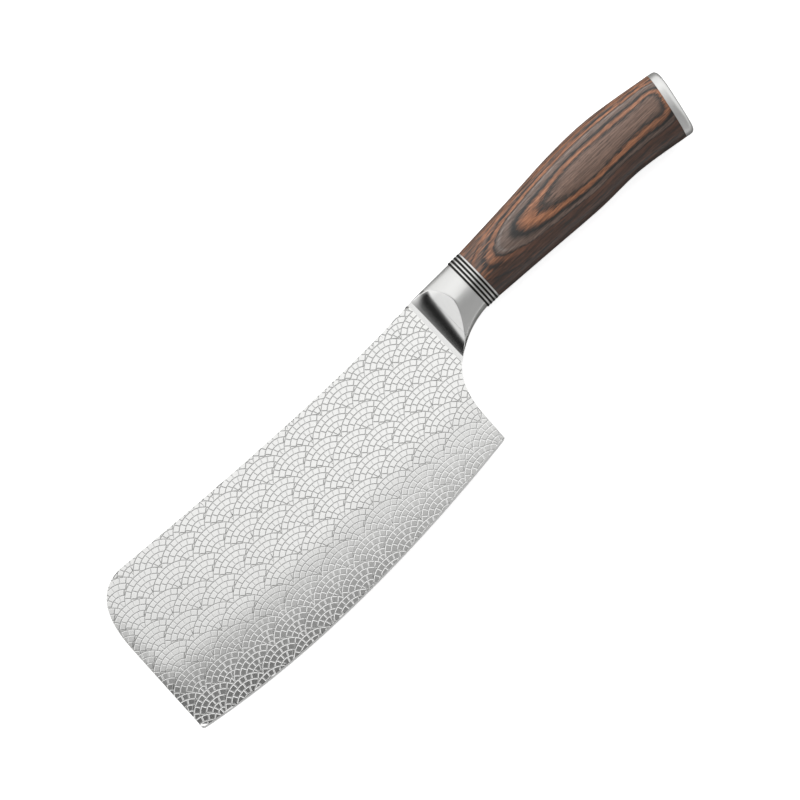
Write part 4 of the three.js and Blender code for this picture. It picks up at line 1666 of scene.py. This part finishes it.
def build_camera(scene, stage):
    """Straight above the blade, turned so that the knife lies across the picture."""
    camera = bpy.data.cameras.new("camera")
    camera.lens = camera.sensor_width * stage.view_distance / stage.view_width
    camera.clip_end = 4 * stage.floor_size
    holder = add_object("camera", camera)
    holder.location = DATUM + Vector((*stage.view_centre, stage.view_distance))
    holder.rotation_euler = (0, 0, stage.view_turn)
    scene.camera = holder


# Operators and panel

class CLEAVER_OT_stage(Operator):
    """Add the floor, the light and the camera"""

    bl_idname = "cleaver.stage"
    bl_label = "Stage"

    def execute(self, context):
        settings = context.scene.cleaver
        context.scene.view_settings.view_transform = "Standard"
        build_world(context.scene)
        build_floor(settings.stage, settings.finishes.floor)
        build_lamp(settings.stage)
        build_camera(context.scene, settings.stage)
        return {"FINISHED"}


class CLEAVER_OT_blade(Operator):
    """Add the paved blade with its forged root and tang"""

    bl_idname = "cleaver.blade"
    bl_label = "Blade"

    def execute(self, context):
        settings = context.scene.cleaver
        finishes = settings.finishes
        materials = [
            make_steel("stone_steel", finishes.blade_steel, STONE_GRAIN, STONE_FINISH),
            make_joint_steel("joint_wall_steel", finishes.joint_wall, finishes.highlit_joint),
            make_hollow_steel(finishes),
            make_steel("honed_edge", finishes.honed_edge, EDGE_GRAIN, EDGE_FINISH),
            make_joint_steel("joint_floor_steel", finishes.joint_floor, finishes.highlit_joint),
        ]
        build_blade(settings, materials)
        return {"FINISHED"}


class CLEAVER_OT_bolster(Operator):
    """Add the hollowed bolster"""

    bl_idname = "cleaver.bolster"
    bl_label = "Bolster"

    def execute(self, context):
        settings = context.scene.cleaver
        finishes = settings.finishes
        side = make_neck_steel("bolster_steel", finishes.bright_steel, BOLSTER_FINISH)
        build_bolster(settings, [side, make_hollow_steel(finishes)])
        return {"FINISHED"}


class CLEAVER_OT_spacers(Operator):
    """Add the black and steel spacers of the neck"""

    bl_idname = "cleaver.spacers"
    bl_label = "Spacers"

    def execute(self, context):
        settings = context.scene.cleaver
        grip, finishes = settings.grip, settings.finishes
        black = make_black(finishes.black)
        steel = make_neck_steel("spacer_steel", finishes.white_steel, SPACER_FINISH)
        for pair in range(1, SPACER_PAIRS + 1):
            black_name, steel_name = f"black_spacer_{pair}", f"steel_spacer_{pair}"
            build_spacer(grip, f"black_band_{pair}", black_name, black, grip.black_proud)
            build_spacer(grip, f"steel_band_{pair}", steel_name, steel)
        return {"FINISHED"}


class CLEAVER_OT_grip(Operator):
    """Add the veneered grip"""

    bl_idname = "cleaver.grip"
    bl_label = "Grip"

    def execute(self, context):
        settings = context.scene.cleaver
        widest = max(settings.grip.thickness) / 2
        build_grip(settings, make_wood(settings.finishes, widest))
        return {"FINISHED"}


class CLEAVER_OT_cap(Operator):
    """Add the butt cap"""

    bl_idname = "cleaver.cap"
    bl_label = "Butt Cap"

    def execute(self, context):
        settings = context.scene.cleaver
        build_cap(settings, make_neck_steel("cap_steel", settings.finishes.white_steel, CAP_FINISH))
        return {"FINISHED"}


class CLEAVER_OT_fittings(Operator):
    """Finish the rod, washer and nut inside the handle"""

    bl_idname = "cleaver.fittings"
    bl_label = "Tang Fittings"

    def execute(self, context):
        finishes = context.scene.cleaver.finishes
        zinc = make_steel("zinc_plate", finishes.zinc, ZINC_GRAIN, ZINC_FINISH)
        for name in ("tang_rod", "tang_washer", "tang_nut"):
            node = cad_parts[name]
            node.data.materials.clear()
            node.data.materials.append(zinc)
        return {"FINISHED"}


OPERATORS = (
    CLEAVER_OT_stage,
    CLEAVER_OT_blade,
    CLEAVER_OT_bolster,
    CLEAVER_OT_spacers,
    CLEAVER_OT_grip,
    CLEAVER_OT_cap,
    CLEAVER_OT_fittings,
)


class CLEAVER_PT_panel(Panel):
    """Lists the pieces of the cleaver and their settings"""

    bl_idname = "CLEAVER_PT_panel"
    bl_label = "Cleaver"
    bl_space_type = "VIEW_3D"
    bl_region_type = "UI"
    bl_category = "Cleaver"

    def draw(self, context):
        layout = self.layout
        for operator in OPERATORS:
            layout.operator(operator.bl_idname)
        settings = context.scene.cleaver
        for group in settings.bl_rna.properties:
            if group.type != "POINTER" or group.identifier == "rna_type":
                continue
            box = layout.box()
            box.label(text=group.identifier.title())
            values = getattr(settings, group.identifier)
            for value in values.bl_rna.properties:
                if value.identifier not in ("rna_type", "name"):
                    box.prop(values, value.identifier)


CLASSES = (
    CleaverBladeSizes,
    CleaverPavingSizes,
    CleaverBolsterSizes,
    CleaverGripSizes,
    CleaverCapSizes,
    CleaverTangSizes,
    CleaverFinishes,
    CleaverStageSizes,
    CleaverSettings,
    *OPERATORS,
    CLEAVER_PT_panel,
)


def register():
    for item in CLASSES:
        bpy.utils.register_class(item)
    bpy.types.Scene.cleaver = PointerProperty(type=CleaverSettings)


def unregister():
    del bpy.types.Scene.cleaver
    for item in reversed(CLASSES):
        bpy.utils.unregister_class(item)


def main():
    register()
    bpy.ops.cleaver.stage()
    bpy.ops.cleaver.blade()
    bpy.ops.cleaver.bolster()
    bpy.ops.cleaver.spacers()
    bpy.ops.cleaver.grip()
    bpy.ops.cleaver.cap()
    bpy.ops.cleaver.fittings()
    boxes = {"cad": CAD_BOX, "visual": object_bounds()}
    {name: [list(corner) for corner in box] for name, box in boxes.items()}


if __name__ == "__main__":
    main()
